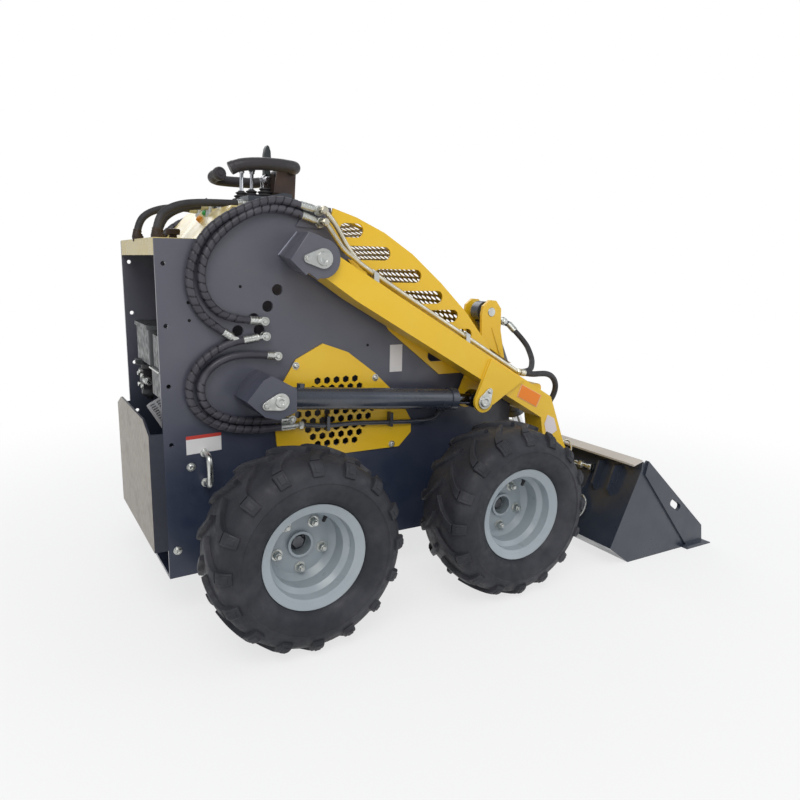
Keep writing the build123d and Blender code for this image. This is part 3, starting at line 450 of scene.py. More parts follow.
def make_stage():
    """The floor, a white surround and soft studio lamps."""
    make_floor()
    world = bpy.data.worlds.new("surround")
    scene.world = world
    tree, link = new_tree(world)
    output = add_node(tree, "OutputWorld")
    light = add_node(tree, "Background", {"Color": (0.93, 0.96, 1.0, 1), "Strength": 0.55})
    white = add_node(tree, "Background", {"Color": (1, 1, 1, 1)})
    rays = add_node(tree, "LightPath")
    mix = add_node(tree, "MixShader")
    link(rays.outputs["Is Camera Ray"], mix.inputs["Fac"])
    link(light.outputs["Background"], mix.inputs[1])
    link(white.outputs["Background"], mix.inputs[2])
    link(mix.outputs["Shader"], output.inputs["Surface"])

    # Name, place, size, power and colour of each lamp
    lamps = [
        ("key", (-1.6, -2.6, 3.2), 2.2, 62, (1, 0.98, 0.95)),
        ("fill", (2.8, -2.2, 1.8), 2.4, 22, (0.93, 0.96, 1)),
        ("back", (0.2, 3.2, 2.8), 2.6, 34, (1, 1, 1)),
    ]
    for name, place, size, power, colour in lamps:
        lamp = bpy.data.lights.new(name, "AREA")
        lamp.size = size
        lamp.energy = power
        lamp.color = colour
        made = bpy.data.objects.new(name, lamp)
        made.location = place
        aim = LAMP_AIM - Vector(place)
        made.rotation_euler = aim.to_track_quat("-Z", "Y").to_euler()
        scene.collection.objects.link(made)
    scene.view_settings.view_transform = "Standard"


def make_camera():
    """The camera of the photograph: its place and turns were fitted to measured points."""
    image_size = 800
    focal_px = 689.34
    centre_px = (404.50, 406.18)
    yaw, pitch, roll = radians(59.179), radians(11.584), radians(1.301)
    look = Vector((cos(yaw) * cos(pitch), sin(yaw) * cos(pitch), -sin(pitch)))
    level = Vector((sin(yaw), -cos(yaw), 0))
    upright = level.cross(look)
    right = level * cos(roll) + upright * sin(roll)
    up = upright * cos(roll) - level * sin(roll)
    data = bpy.data.cameras.new("camera")
    data.sensor_width = 36
    data.lens = 36 * focal_px / image_size
    data.shift_x = -(centre_px[0] - image_size / 2) / image_size
    data.shift_y = (centre_px[1] - image_size / 2) / image_size
    camera = bpy.data.objects.new("camera", data)
    turn = Matrix((right, up, -look)).transposed()
    camera.matrix_world = Matrix.Translation(at(-542.2, -1760.2, 834.3)) @ turn.to_4x4()
    scene.collection.objects.link(camera)
    scene.camera = camera


make_stage()
make_camera()


# Finishes of the modelled nodes
NODE_SKINS = {
    SLATE: "side_plate_right side_plate_left floor_plate front_plate boom_brackets cylinder_brackets"
           " axle_housings",
    BUCKET: "quick_attach bucket",
    YELLOW: "arch_plates side_covers boom_arm_right boom_arm_left boom_cross hood_screen",
    LIT_DECK_YELLOW: "deck",
    BLACK: "lift_barrel_right lift_barrel_left tilt_barrel console",
    RIM: "rim_rear_right rim_rear_left rim_front_right rim_front_left",
    PAN: "rear_guard",
    FLANGE: "bucket_flange",
    GUARD: "muffler",
    ZINC: "chassis_pins boom_pins tie_downs hose_fittings boom_pipes",
    CHROME: "tilt_rod",
    SHADED_ROD: "lift_rod_right lift_rod_left",
    ENGINE: "engine carburettor",
    CASE: "air_cleaner battery",
    PLASTIC: "fuel_cap control_levers",
    FOAM: "handlebar",
    TYRE: "tyre_rear_right tyre_rear_left tyre_front_right tyre_front_left",
    RUBBER: "hose_upper_outer_right hose_upper_outer_left hose_upper_inner_right hose_upper_inner_left"
            " hose_lower_outer_right hose_lower_outer_left hose_lower_inner_right hose_lower_inner_left"
            " hose_rear_near hose_rear_middle hose_rear_far hose_tilt hose_boom",
}
for skin, names in NODE_SKINS.items():
    for name in names.split():
        mesh = NODES[name].data
        mesh.materials.clear()
        mesh.materials.append(skin.mat)


# Tyres: the carcass as (distance from the middle, radius), from the crown to the bead
CARCASS = [(0, 213), (30, 212), (56, 209), (72, 203), (82, 194), (89, 182), (92.5, 173), (94, 169), (92, 166),
           (93, 158), (91, 146), (86, 133), (78, 123), (70, 119)]
LUG_COUNT = 16


def carcass_spot(along):
    """The place and outward normal on the carcass at a distance along it from the crown."""
    travelled = 0
    for (s_a, r_a), (s_b, r_b) in zip(CARCASS, CARCASS[1:]):
        length = hypot(s_b - s_a, r_b - r_a)
        if travelled + length >= along or (s_b, r_b) == CARCASS[-1]:
            t = (along - travelled) / length
            normal = Vector((-(r_b - r_a), s_b - s_a)).normalized()
            return s_a + (s_b - s_a) * t, r_a + (r_b - r_a) * t, normal
        travelled += length


def tyre_point(along, around, height, side):
    """A point over the tread: along the section, around in degrees, at a height off the carcass."""
    s, radius, normal = carcass_spot(abs(along))
    s += normal.x * height
    radius += normal.y * height
    angle = radians(around)
    return Vector((radius * sin(angle), -side * s, radius * cos(angle))) * MM


def lug_grid(bm, rows, heights, side, spin):
    """A lug as a grid on the tread; rows are (along, trailing angle, leading angle)."""
    across = (0, 0.08, 0.5, 0.92, 1)
    rise = (0, 1, 1, 1, 0)
    top = []
    for (along, trailing, leading), height in zip(rows, heights):
        line = []
        for share, lift in zip(across, rise):
            around = trailing + (leading - trailing) * share
            top_height = height if lift else height - 1.2
            line.append(bm.verts.new(tyre_point(along, around + spin, top_height, side)))
        top.append(line)
    foot = []
    for (along, trailing, leading), height in zip(rows, heights):
        draft = 0.55
        foot.append([
            bm.verts.new(tyre_point(along, trailing - draft + spin, -2, side)),
            bm.verts.new(tyre_point(along, leading + draft + spin, -2, side)),
        ])
    for i in range(len(rows) - 1):
        for k in range(len(across) - 1):
            bm.faces.new((top[i][k], top[i][k + 1], top[i + 1][k + 1], top[i + 1][k]))
        bm.faces.new((foot[i][0], top[i][0], top[i + 1][0], foot[i + 1][0]))
        bm.faces.new((top[i][-1], foot[i][1], foot[i + 1][1], top[i + 1][-1]))
    for i in (0, len(rows) - 1):
        bm.faces.new([foot[i][0], *top[i], foot[i][1]])


def tyre_mesh():
    """One tyre about its own centre: the carcass, chevron bars and square shoulder blocks."""
    bm = bmesh.new()
    profile = [(-s, r) for s, r in reversed(CARCASS)] + CARCASS[1:]
    lathe(bm, Vector((0, 0, 0)), (0, -1, 0), [(-66, 104)] + profile + [(66, 104)], 96, wrap=True)
    step = 360 / LUG_COUNT
    bar = []
    bar_heights = []
    for i in range(9):
        t = i / 8
        along = 3 + 63 * t
        middle = 15.5 * (1 - t) ** 1.35
        wide = 1.4 + 1.5 * t ** 0.8
        bar.append((along, middle - wide, middle + wide))
        bar_heights.append(11 - 1.5 * t)
    shoulder_at = (68, 72, 78, 84, 90, 96, 99)
    shoulder = [(along, -3.6 - 0.02 * i, 3.6 + 0.02 * i) for i, along in enumerate(shoulder_at)]
    shoulder_heights = [9, 9.5, 9.3, 8.6, 7.4, 6, 4.6]
    inset = [(along, -1.9, 1.9) for along in (75, 80, 86, 91)]
    inset_heights = [11.2, 10.6, 9.6, 8.4]
    for side in (1, -1):
        for i in range(LUG_COUNT):
            spin = step * (i + (0 if side > 0 else 0.5))
            lug_grid(bm, bar, bar_heights, side, spin)
            lug_grid(bm, shoulder, shoulder_heights, side, spin)
            lug_grid(bm, inset, inset_heights, side, spin)
    return bm


# Hoses: the routes of the drawing, each the control points of a smooth spline
HOSE_R = 8.5
WRAP_R = 9.7
WRAP_PITCH = 19
SEAM_FROM = 0.85
HOSE_SIDES = 16
UPPER_TUCK = 0.0177
# The side hoses' y on the right; the left ones mirror it
HOSE_Y = -226.5
# Side hoses: name, where the spiral wrap starts and ends as shares of the length, route of (x, z)
SIDE_HOSES = [
    ("upper_outer", 0.02, 0.97, [
        (86, 963), (58, 969), (24, 972), (-14, 963), (-56, 946), (-100, 924), (-142, 887), (-167, 838),
        (-176, 786), (-164, 738), (-138, 702), (-102, 678),
    ]),
    ("upper_inner", 0.02, 0.96, [
        (90, 940), (60, 949), (28, 953), (-8, 949), (-44, 936), (-81, 913), (-115, 882), (-140, 844),
        (-150, 800), (-142, 757), (-115, 722), (-76, 706), (-40, 703),
    ]),
    ("lower_outer", 0.12, 0.9, [
        (-56, 658), (-84, 654), (-114, 642), (-145, 622), (-170, 597), (-184, 564), (-183, 528),
        (-167, 498), (-138, 474), (-102, 458), (-64, 449), (-18, 445), (30, 446),
    ]),
    ("lower_inner", 0.42, 0.88, [
        (-2, 621), (-38, 625), (-76, 624), (-112, 614), (-140, 594), (-158, 565), (-158, 532),
        (-143, 504), (-117, 485), (-85, 474), (-49, 468), (-10, 465), (30, 464),
    ]),
]
# Hoses over the deck's rear
REAR_HOSES = [
    ("rear_near", [
        (-218, -135, 900), (-212, -134, 926), (-191, -131, 945), (-160, -128, 957), (-124, -126, 962),
        (-88, -124, 964), (-54, -122, 965), (-30, -121, 966),
    ]),
    ("rear_middle", [
        (-204, -92, 900), (-197, -91, 920), (-178, -88, 938), (-152, -83, 950), (-126, -76, 957),
        (-104, -69, 959),
    ]),
    ("rear_far", [
        (-231, 20, 900), (-225, 24, 922), (-206, 30, 941), (-178, 37, 953), (-148, 43, 959), (-120, 47, 960),
        (-100, 50, 959),
    ]),
]
# Hoses at the front of the boom
FRONT_HOSES = [
    ("tilt", [
        (742, -246.5, 541), (775, -240, 539), (812, -215, 542), (845, -180, 547), (878, -142, 556),
        (903, -102, 572), (916, -62, 600), (895, -31, 635),
    ]),
    ("boom", [
        (742, -265.5, 541), (776, -262, 534), (814, -254, 533), (852, -245, 529), (884, -235, 514),
        (904, -227, 488), (904, -221, 460), (890, -217, 434), (869, -216, 411),
    ]),
]


def spline_points(route, steps):
    """Points along the smooth spline whose control points are the route's."""
    curve = bpy.data.curves.new("route", "CURVE")
    curve.dimensions = "3D"
    curve.resolution_u = steps
    spline = curve.splines.new("NURBS")
    spline.points.add(len(route) - 1)
    for spot, place in zip(spline.points, route):
        spot.co = (*at(*place), 1)
    spline.order_u = 3
    spline.use_endpoint_u = True
    holder = bpy.data.objects.new("route", curve)
    mesh = bpy.data.meshes.new_from_object(holder)
    points = [vertex.co.copy() for vertex in mesh.vertices]
    bpy.data.objects.remove(holder)
    bpy.data.curves.remove(curve)
    bpy.data.meshes.remove(mesh)
    return points


def hose(name, route, wrap=None, body="chassis"):
    """A hose along its spline; wrap gives the shares of its length between which a band is wound on it."""
    points = spline_points(route, 28 if wrap else 12)
    travelled = [0]
    for before, after in zip(points, points[1:]):
        travelled.append(travelled[-1] + (after - before).length / MM)
    whole = travelled[-1]

    def winding(i, turn):
        """How far through a turn of the band a spot is, or nothing where the hose is bare."""
        if not wrap or not wrap[0] * whole < travelled[i] < wrap[1] * whole:
            return None
        return (travelled[i] / WRAP_PITCH + turn / (2 * pi)) % 1

    def radius_at(i, turn):
        share = winding(i, turn)
        if share is None:
            return HOSE_R
        return HOSE_R - 0.3 if share > SEAM_FROM else WRAP_R - 0.7 * share

    bm = bmesh.new()
    tube(bm, points, HOSE_R, HOSE_SIDES, radius_at=radius_at)
    made = piece(f"skin_hose_{name}", bm, WRAP if wrap else RUBBER, body, (f"hose_{name}",), crease=50)
    if wrap:
        # A mask of the grooves, for the painted shade in them
        seams = []
        for i in range(len(points)):
            for k in range(HOSE_SIDES):
                share = winding(i, 2 * pi * k / HOSE_SIDES)
                seams.append(1.0 if share is not None and share > SEAM_FROM else 0.0)
        made.data.attributes.new("seam_shade", "FLOAT", "POINT").data.foreach_set("value", seams)
    if not body:
        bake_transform(made)


def side_places(name, route, y):
    """A side hose's route with its depth; the upper ones hug the plate at their front ends."""
    tuck = UPPER_TUCK if name.startswith("upper") else 0
    return [(x, y * (1 - tuck * max(0, min(1, (x + 20) / 70))), z) for x, z in route]


def make_hoses():
    for name, wrap_from, wrap_to, route in SIDE_HOSES:
        for side_name, side in SIDES:
            hose(f"{name}_{side_name}", side_places(name, route, -side * HOSE_Y), (wrap_from, wrap_to))
    for name, route in REAR_HOSES:
        hose(name, route)
    for name, route in FRONT_HOSES:
        hose(name, route, body=None if name == "tilt" else "boom")


def out_of(route, length=26):
    """The first point of a hose's route, the direction that carries on from it and its ferrule's end."""
    start = at(*route[0])
    away = (start - at(*route[1])).normalized()
    return start, away, start + away * length * MM


# One crimp of a ferrule as (share of its length, radius)
CRIMP = [(0, 9.8), (0.6, 9.8), (0.7, 9.3), (0.95, 9.3)]


def ferrule(bm, start, away, length=26):
    """A crimped ferrule over the hose's end, with the neck that comes out of it."""
    crimps = 3 if length < 40 else 5
    shell = min(length * 0.66, 33)
    step = shell / crimps
    profile = [(-2, 8.9)]
    for i in range(crimps):
        profile += [((i + share) * step - 1, radius) for share, radius in CRIMP]
    profile += [(shell, 9.8), (shell + 1, 6.2), (length + 1, 6.2)]
    lathe(bm, start, away, profile, 20)


def banjo(bm, place, out, face):
    """An eye with its bolt against the side plate; face is the plate's distance from the middle."""
    foot = Vector((place.x, out.y * face * MM, place.z))
    depth = abs(place.y) / MM - face
    eye = [(-7, 7), (-6, 10.5), (5, 10.5), (6, 9.5), (6, 7.5), (5, 7), (5, 0)]
    profile = [(0, 10), (3, 10), (3.5, 7)] + [(depth + along, radius) for along, radius in eye]
    lathe(bm, foot, out, profile, 28)
    nut(bm, foot + out * (depth + 5) * MM, out, 10, 4, 0.3)


def side_route(name, side, last=False):
    """A side hose's route with its depth, from its first point or from its last."""
    found = [route for hose_name, _, _, route in SIDE_HOSES if hose_name == name][0]
    places = side_places(name, found, -side * HOSE_Y)
    return places[::-1] if last else places


# Ends of the side hoses: name, the last end or the first, the fitting's length, its kind
HOSE_ENDS = [
    ("upper_outer", False, 46, "swivel"),
    ("upper_inner", False, 46, "swivel"),
    ("upper_outer", True, 32, "elbow"),
    ("upper_inner", True, 33, "eye"),
    ("lower_outer", False, 52, "eye"),
    ("lower_inner", False, 25, "eye"),
    ("lower_inner", True, 26, "eye"),
    ("lower_outer", True, 50, "pipe"),
]


def swivel_spot(name, side):
    """Where the fitting of an upper hose ends, in the drawing's millimetres."""
    _, _, end = out_of(side_route(name, side), 46)
    return (end - AXLE) / MM


# The black pipe that carries the lowest hose on along the plate, and its clamps
STEEL_ROUTE = [(150, 437), (220, 438), (300, 431), (423, 423), (468, 424), (490, 450)]
PIPE_CLAMPS = [(150, 437), (330, 430)]
PIPE_R = 6
SWIVEL_END = 231
SWIVEL_TAB = [(76, 916), (150, 912), (150, 946), (132, 960), (104, 962)]


def make_fittings():
    """Everything that holds the hoses on the chassis, for both sides and the rear."""
    bm = bmesh.new()
    dark = bmesh.new()
    for side in (-1, 1):
        out = Vector((0, side, 0))
        for name, last, length, kind in HOSE_ENDS:
            start, away, end = out_of(side_route(name, side, last), length)
            ferrule(bm, start, away, length)
            foot = Vector((end.x, side * PLATE_OUT * MM, end.z))
            if kind == "eye":
                banjo(bm, end, out, PLATE_OUT)
            elif kind == "elbow":
                rod(bm, foot, end + out * 6 * MM, 7)
            elif kind == "swivel":
                lathe(bm, foot, out, [(0, 12), (8, 12), (9, 9.4), (SWIVEL_END - PLATE_OUT, 9.4)], 24)
                nut(bm, foot + out * 9 * MM, out, 20, 7)
            else:
                nut(bm, end - away * 6 * MM, away, 18, 12)
        _, _, end = out_of(side_route("lower_outer", side, True), 50)
        places = [end] + [at(x, -side * HOSE_Y, z) for x, z in STEEL_ROUTE]
        tube(dark, arc_points(places), PIPE_R, 16)
        rod(dark, at(490, side * PLATE_OUT, 450), at(490, side * 235, 450), 9.4)
        for x, z in PIPE_CLAMPS:
            top = z + 26
            outline = [(x - 4, z - 11), (x - 4, top), (x + 4, top), (x + 4, z - 11)]
            plate(dark, outline, side * (PLATE_OUT + 4), side * 236)
    rear = bmesh.new()
    for name, route in REAR_HOSES:
        x, y, z = route[0]
        start, away, end = out_of(route)
        ferrule(rear, start, away)
        lathe(rear, at(x, y, 880), UP, [(0, 13), (8, 13), (9, 10)], 24)
        nut(rear, at(x, y, 886), (0, 0, 1), 20, 7)
        start, away, end = out_of(route[::-1])
        ferrule(bm, start, away)
        if name != "rear_near":
            post = (end - AXLE) / MM
            rod(bm, at(post.x, post.y, 922), at(post.x, post.y, post.z + 9), 10)
            nut(bm, at(post.x, post.y, post.z + 9), (0, 0, 1), 19, 6)
    piece("rear_fittings", rear, CAP, "chassis")
    tab = bmesh.new()
    for side in (-1, 1):
        plate(tab, SWIVEL_TAB, side * PLATE_OUT, side * (PLATE_OUT + 4))
    piece("fittings", bm, ZINC, "chassis", ("hose_fittings",))
    piece("plate_pipes", dark, BLACK, "chassis")
    piece("swivel_tabs", tab, SLATE, "chassis")


# Steel pipes on the boom: bends of (x, y, z) on the right, then the start of a front hose
ARM_SLOPE = (833 - 474) / (812 - 173)
PIPE_LIFT = 24
CLAMP_X = (258, 536)


def pipe_height(x):
    """The height of a pipe's middle where it runs along the arm's sloping top."""
    return 833 - (x - 173) * ARM_SLOPE + PIPE_LIFT


PIPE_BENDS = [
    ("upper_outer", [
        (150, -247, 938), (172, -247, 908), (192, -247, 874), (214, -247, 848), (246, -247, pipe_height(246)),
    ]),
    ("upper_inner", [
        (146, -251, 912), (162, -257, 886), (180, -262, 862), (202, -265, 848), (232, -265, pipe_height(232)),
    ]),
]


def make_pipes():
    """The two pipes on each arm with their bosses, saddles and ferrules, and the elbow on the right arm."""
    bm = bmesh.new()
    saddles = bmesh.new()
    for side in (-1, 1):
        for (swivel, bends), (_, hose_route) in zip(PIPE_BENDS, FRONT_HOSES):
            boss = swivel_spot(swivel, side)
            rod(bm, at(boss.x, side * 240, boss.z), at(boss.x, side * 256, boss.z), 9)
            nut(bm, at(boss.x, side * 255, boss.z), (0, side, 0), 15, 5)
            route = [(x, -side * y, z) for x, y, z in hose_route]
            start, away, end = out_of(route)
            bent = [at(x, -side * y, z) for x, y, z in bends]
            tube(bm, arc_points([at(boss.x + 2, side * 246.5, boss.z), *bent, end]), PIPE_R, 16)
            ferrule(bm, start, away)
            nut(bm, end - away * 4 * MM, away, 17, 9)
        for x in CLAMP_X:
            low_a, low_b = pipe_height(x - 7) - PIPE_LIFT, pipe_height(x + 7) - PIPE_LIFT
            outline = [(x - 7, low_a), (x - 7, low_a + 31), (x + 7, low_b + 31), (x + 7, low_b)]
            plate(saddles, outline, side * 238, side * 276)
            nut(saddles, at(x, side * 256, (low_a + low_b) / 2 + 31), (ARM_SLOPE, 0, 1), 11, 5)
    coupler = [(738, 549), (772, 532), (764, 508), (730, 525)]
    plate(saddles, coupler, 235.5, 276.5)
    start, away, end = out_of(FRONT_HOSES[1][1][::-1])
    ferrule(bm, start, away)
    low = (end - AXLE) / MM
    rod(bm, at(low.x, -205, low.z), at(low.x, -ARM_IN, low.z), 10)
    piece("boom_pipes_bent", bm, PIPE, "boom", ("boom_pipes",))
    piece("pipe_saddles", saddles, ZINC, "boom", bevel=1.2)


# The hood: a perforated sheet bent along the arch, from its rear edge to its front one
HOOD_LINE = [(174, 948), (223, 932), (301, 899), (384, 849), (473, 778), (558, 700), (612, 637), (737, 562)]
HOLE_PITCH = 24
HOLE_R = 8.4
HOOD_HALF = 213
HOOD_BORDER = 28
# The corners and middles of a square's edges, in turn, from which a hole's facets start
SQUARE_RING = [(-1, -1), (0, -1), (1, -1), (1, 0), (1, 1), (0, 1), (-1, 1), (-1, 0)]


def hood_point(along, y):
    """A point of the hood at a distance along its bent line."""
    for (x_a, z_a), (x_b, z_b) in zip(HOOD_LINE, HOOD_LINE[1:]):
        length = hypot(x_b - x_a, z_b - z_a)
        if along <= length or (x_b, z_b) == HOOD_LINE[-1]:
            t = along / length
            return at(x_a + (x_b - x_a) * t, y, z_a + (z_b - z_a) * t)
        along -= length


def make_hood():
    """The perforated hood, its holes in staggered rows inside a plain border."""
    bm = bmesh.new()
    whole = sum(hypot(b[0] - a[0], b[1] - a[1]) for a, b in zip(HOOD_LINE, HOOD_LINE[1:]))
    columns = int((2 * HOOD_HALF - HOOD_BORDER) / HOLE_PITCH)
    rows = int((whole - HOOD_BORDER) / HOLE_PITCH)
    half = columns * HOLE_PITCH / 2
    first = (whole - rows * HOLE_PITCH) / 2
    half_pitch = HOLE_PITCH / 2

    def face(places):
        bm.faces.new([bm.verts.new(hood_point(s, y)) for y, s in places])

    def strip(y_a, y_b, low, high):
        face([(y_a, low), (y_b, low), (y_b, high), (y_a, high)])

    for row in range(rows):
        low = first + row * HOLE_PITCH
        high = low + HOLE_PITCH
        middle = (low + high) / 2
        shifted = row % 2
        for column in range(columns - shifted):
            y_m = -half + (column + (shifted + 1) / 2) * HOLE_PITCH
            outer = [(y_m + half_pitch * a, middle + half_pitch * b) for a, b in SQUARE_RING]
            turns = [radians(-135 + 45 * i) for i in range(8)]
            inner = [(y_m + HOLE_R * cos(turn), middle + HOLE_R * sin(turn)) for turn in turns]
            for i in range(8):
                j = (i + 1) % 8
                face([outer[i], outer[j], inner[j], inner[i]])
        if shifted:
            strip(-half, -half + half_pitch, low, high)
            strip(half - half_pitch, half, low, high)
        strip(-HOOD_HALF, -half, low, high)
        strip(half, HOOD_HALF, low, high)
    strip(-HOOD_HALF, HOOD_HALF, 0, first)
    strip(-HOOD_HALF, HOOD_HALF, whole - first, whole)
    bmesh.ops.remove_doubles(bm, verts=bm.verts, dist=0.02 * MM)
    hood = piece("hood_mesh", bm, YELLOW, "chassis", ("hood_screen",))
    sheet = hood.modifiers.new("sheet", "SOLIDIFY")
    sheet.thickness = 0.9 * MM
    sheet.offset = -1


# Controls: the operator's bar, its post, the levers with their bellows and the paddle
# The bar's route as (x, y, z) with its radius there
BAR = [
    (-45, -117, 1043, 14), (-30, -120, 1052, 14.5), (20, -121, 1060, 14.5), (76, -120, 1061, 15),
    (112, -114, 1059, 15.5), (129, -78, 1062, 15.5), (136, 0, 1065, 14), (136, 76, 1060, 13.5),
    (124, 112, 1048, 13.5), (94, 121, 1040, 13.5), (40, 121, 1040, 13.5), (4, 120, 1040, 13.5),
    (-18, 117, 1044, 14.5), (-24, 100, 1047, 15), (-19, 80, 1050, 15), (-15, 62, 1053, 15),
]
# Profiles of the bar's two caps, with the cap that is ribbed first, as (along, radius)
RIBBED_CAP = [
    (0, 15.4), (1, 16), (15, 16), (17, 15), (17, 10.5), (14.5, 10), (14.5, 7), (17, 6.5), (17, 0),
]
PLAIN_CAP = [(0, 14.4), (1, 15), (11, 15), (12, 14), (12, 9), (10, 8), (10, 0)]
CAP_RIBS = 24
POST = [(84, 1003), (92, 1060), (142, 1060), (136, 955), (104, 955), (102, 1000)]
POST_BACK = [(136, 1060), (130, 955), (136, 955), (142, 1060)]


def radius_along(points, route):
    """The bar's radius at each point of its spline, eased between the route's own."""
    radii = []
    for i in range(len(points)):
        spot = i / (len(points) - 1) * (len(route) - 1)
        k = min(int(spot), len(route) - 2)
        t = spot - k
        t = t * t * (3 - 2 * t)
        radii.append(route[k][3] * (1 - t) + route[k + 1][3] * t)
    return radii


def make_bar():
    """The operator's bar with its two caps, and the folded post that carries it."""
    bm = bmesh.new()
    points = spline_points([place[:3] for place in BAR], 12)
    radii = radius_along(points, BAR)
    tube(bm, points, 16, 28, radius_at=lambda i, turn: radii[i])
    end = points[-1]
    out = (points[-1] - points[-4]).normalized()
    lathe(bm, end - out * 16 * MM, out, RIBBED_CAP)
    side, up = ring_frame(out)
    for i in range(CAP_RIBS):
        turn = 2 * pi * i / CAP_RIBS
        rib = end - out * 14 * MM + (side * cos(turn) + up * sin(turn)) * 15.8 * MM
        rod(bm, rib, rib + out * 12 * MM, 1.1, 6, 0.2)
    near = points[0]
    back = (points[0] - points[3]).normalized()
    lathe(bm, near - back * 12 * MM, back, PLAIN_CAP, 28)
    piece("operator_bar", bm, FOAM, "chassis", ("handlebar",), crease=40)
    bm = bmesh.new()
    for y in (-56, 50):
        plate(bm, POST, y, y + 6)
    plate(bm, POST_BACK, -50, 50)
    piece("bar_post", bm, POST_PAINT, "chassis", bevel=1)


# Levers as (x, y, foot, top of the stem, top of the grip)
LEVERS = [(8, -30, 972, 1050, 1080), (44, 0, 980, 1054, 1082)]
PADDLE_CHEEK = [(84, 1018), (80, 1046), (90, 1056), (102, 1050), (104, 1018)]
PADDLE = [
    (88, 1044), (87, 1076), (88, 1104), (91, 1118), (96, 1127), (101, 1124), (105, 1112), (106, 1088),
    (103, 1060), (100, 1044),
]


def bellows(bm, x, y, low, radii):
    """A rubber bellows of rounded rings, each 8 high, as (widest, narrowest) radii."""
    profile = [(0, radii[0][0] - 2)]
    for i, (wide, narrow) in enumerate(radii):
        profile += [(8 * i + 1.5, wide), (8 * i + 3.5, wide), (8 * i + 6, narrow), (8 * i + 7.5, narrow)]
    profile.append((8 * len(radii), radii[-1][1] - 1))
    lathe(bm, at(x, y, low), (0, 0, 1), profile, 28)


def make_levers():
    """Two levers in bellows, and the paddle between its cheeks."""
    boots = bmesh.new()
    stems = bmesh.new()
    grips = bmesh.new()
    for x, y, foot, stem_top, grip_top in LEVERS:
        bellows(boots, x, y, foot, [(25, 19), (22, 15), (18, 11), (14, 8)])
        rod(stems, at(x, y, foot + 26), at(x + 2, y, stem_top + 2), 4.6)
        lathe(stems, at(x + 2, y, stem_top - 5), UP, [(0, 6), (1, 7), (6, 7), (7, 6)], 6)
        height = grip_top - stem_top
        grip = [(0, 7), (2, 8), (height * 0.6, 11), (height - 4, 12), (height - 1, 9), (height, 4)]
        lathe(grips, at(x + 2, y, stem_top), UP, grip, 24)
    bellows(boots, 92, 34, 992, [(26, 20), (23, 17), (20, 13), (16, 9)])
    for y in (22, 40):
        plate(stems, PADDLE_CHEEK, y, y + 6)
    rod(stems, at(92, 18, 1042), at(92, 50, 1042), 5)
    nut(stems, at(92, 18, 1042), (0, -1, 0), 13, 5)
    plate(grips, PADDLE, 22, 42)
    piece("lever_boots", boots, RUBBER, "chassis", ("control_levers",), crease=50)
    piece("lever_stems", stems, CHROME, "chassis", bevel=0.8)
    piece("lever_grips", grips, CASE, "chassis", bevel=3)


# The direction across the deck's sloping panel, square to the knobs' axes
PANEL_SLOPE = (75, 0, -66)


def make_deck_parts():
    """Knobs on the sloping panel, a small dark coupling beside them and the filler's cap."""
    slope = Vector(PANEL_SLOPE).normalized()
    out = Vector((-slope.x, 0, -slope.z))
    for name, x, z, skin in (("knob_amber", -92, 929, AMBER), ("knob_green", -78, 944, GREEN)):
        bm = bmesh.new()
        lathe(bm, at(x, -24, z), out, [(0, 8), (8, 7.4), (10, 6), (11, 3)], 24)
        piece(name, bm, skin, "chassis")
    bm = bmesh.new()
    lathe(bm, at(-66, -30, 955), out, [(-4, 13), (8, 13), (9, 10), (20, 10), (21, 12), (27, 12), (28, 9)], 24)
    piece("deck_coupling", bm, CASE, "chassis")
    bm = bmesh.new()
    lathe(bm, at(-158, -20, 879), UP, [(0, 20), (2, 20), (3, 9), (14, 9)], 28)
    lathe(bm, at(-158, -20, 892), UP, [(0, 12), (1, 16), (12, 17), (14, 15), (15, 8)], 18)
    piece("filler_cap", bm, CAP, "chassis", ("fuel_cap",), crease=25)


# Fasteners on the side plates and the covers as (x, z)
COVER_BOLTS = [(72, 591), (289, 549), (341, 367)]
PLATE_BOLTS = [(-221, 175), (-183, 371)]
BLIND_HOLES = [(-58, 778), (-175, 743), (-174, 704), (268, 633)]


def button_head(bm, x, y, z, side, radius):
    """A domed socket head that stands out of a face at y."""
    out = Vector((0, side, 0))
    dome = [(1.2, 1), (3, 0.94), (4.6, 0.75), (5.2, 0.45), (3.2, 0.4), (3.2, 0)]
    profile = [(0, radius + 2), (1, radius + 2)] + [(along, radius * share) for along, share in dome]
    lathe(bm, at(x, y, z), out, profile, 24)


def make_fasteners():
    """Domed bolts on the side plates and covers, and near-black discs in their blind holes: painted shade."""
    bm = bmesh.new()
    holes = bmesh.new()
    for side in (-1, 1):
        for x, z in COVER_BOLTS:
            button_head(bm, x, side * (PLATE_OUT + 4), z, side, 7)
        for x, z in PLATE_BOLTS:
            button_head(bm, x, side * PLATE_OUT, z, side, 8)
        for x, z in BLIND_HOLES:
            # A near-black disc in each hole: painted shade.
            lathe(holes, at(x, side * (PLATE_OUT - 1), z), (0, side, 0), [(0, 3.6), (1.3, 3.6)], 16)
    piece("plate_fasteners", bm, ZINC, "chassis")
    piece("plate_hole_shades", holes, HOLE_SHADE, "chassis")


# Chassis pins as (centre, the keeper's tail from it, radius, distance of the ear's face)
PINS = [((96, 844), (-37, -1), 15, 329), ((-4, 527), (-34, -7), 12.5, 319)]
PIN_HEAD = [(-90, 12.5), (0, 12.5), (0, 14.5), (2.5, 14.5), (3.5, 13), (3.5, 8), (2.5, 7), (2.5, 0)]
LIFT_FRONT = (567, 481)
TOWER = (784, 697)
TIP = (896, 141)


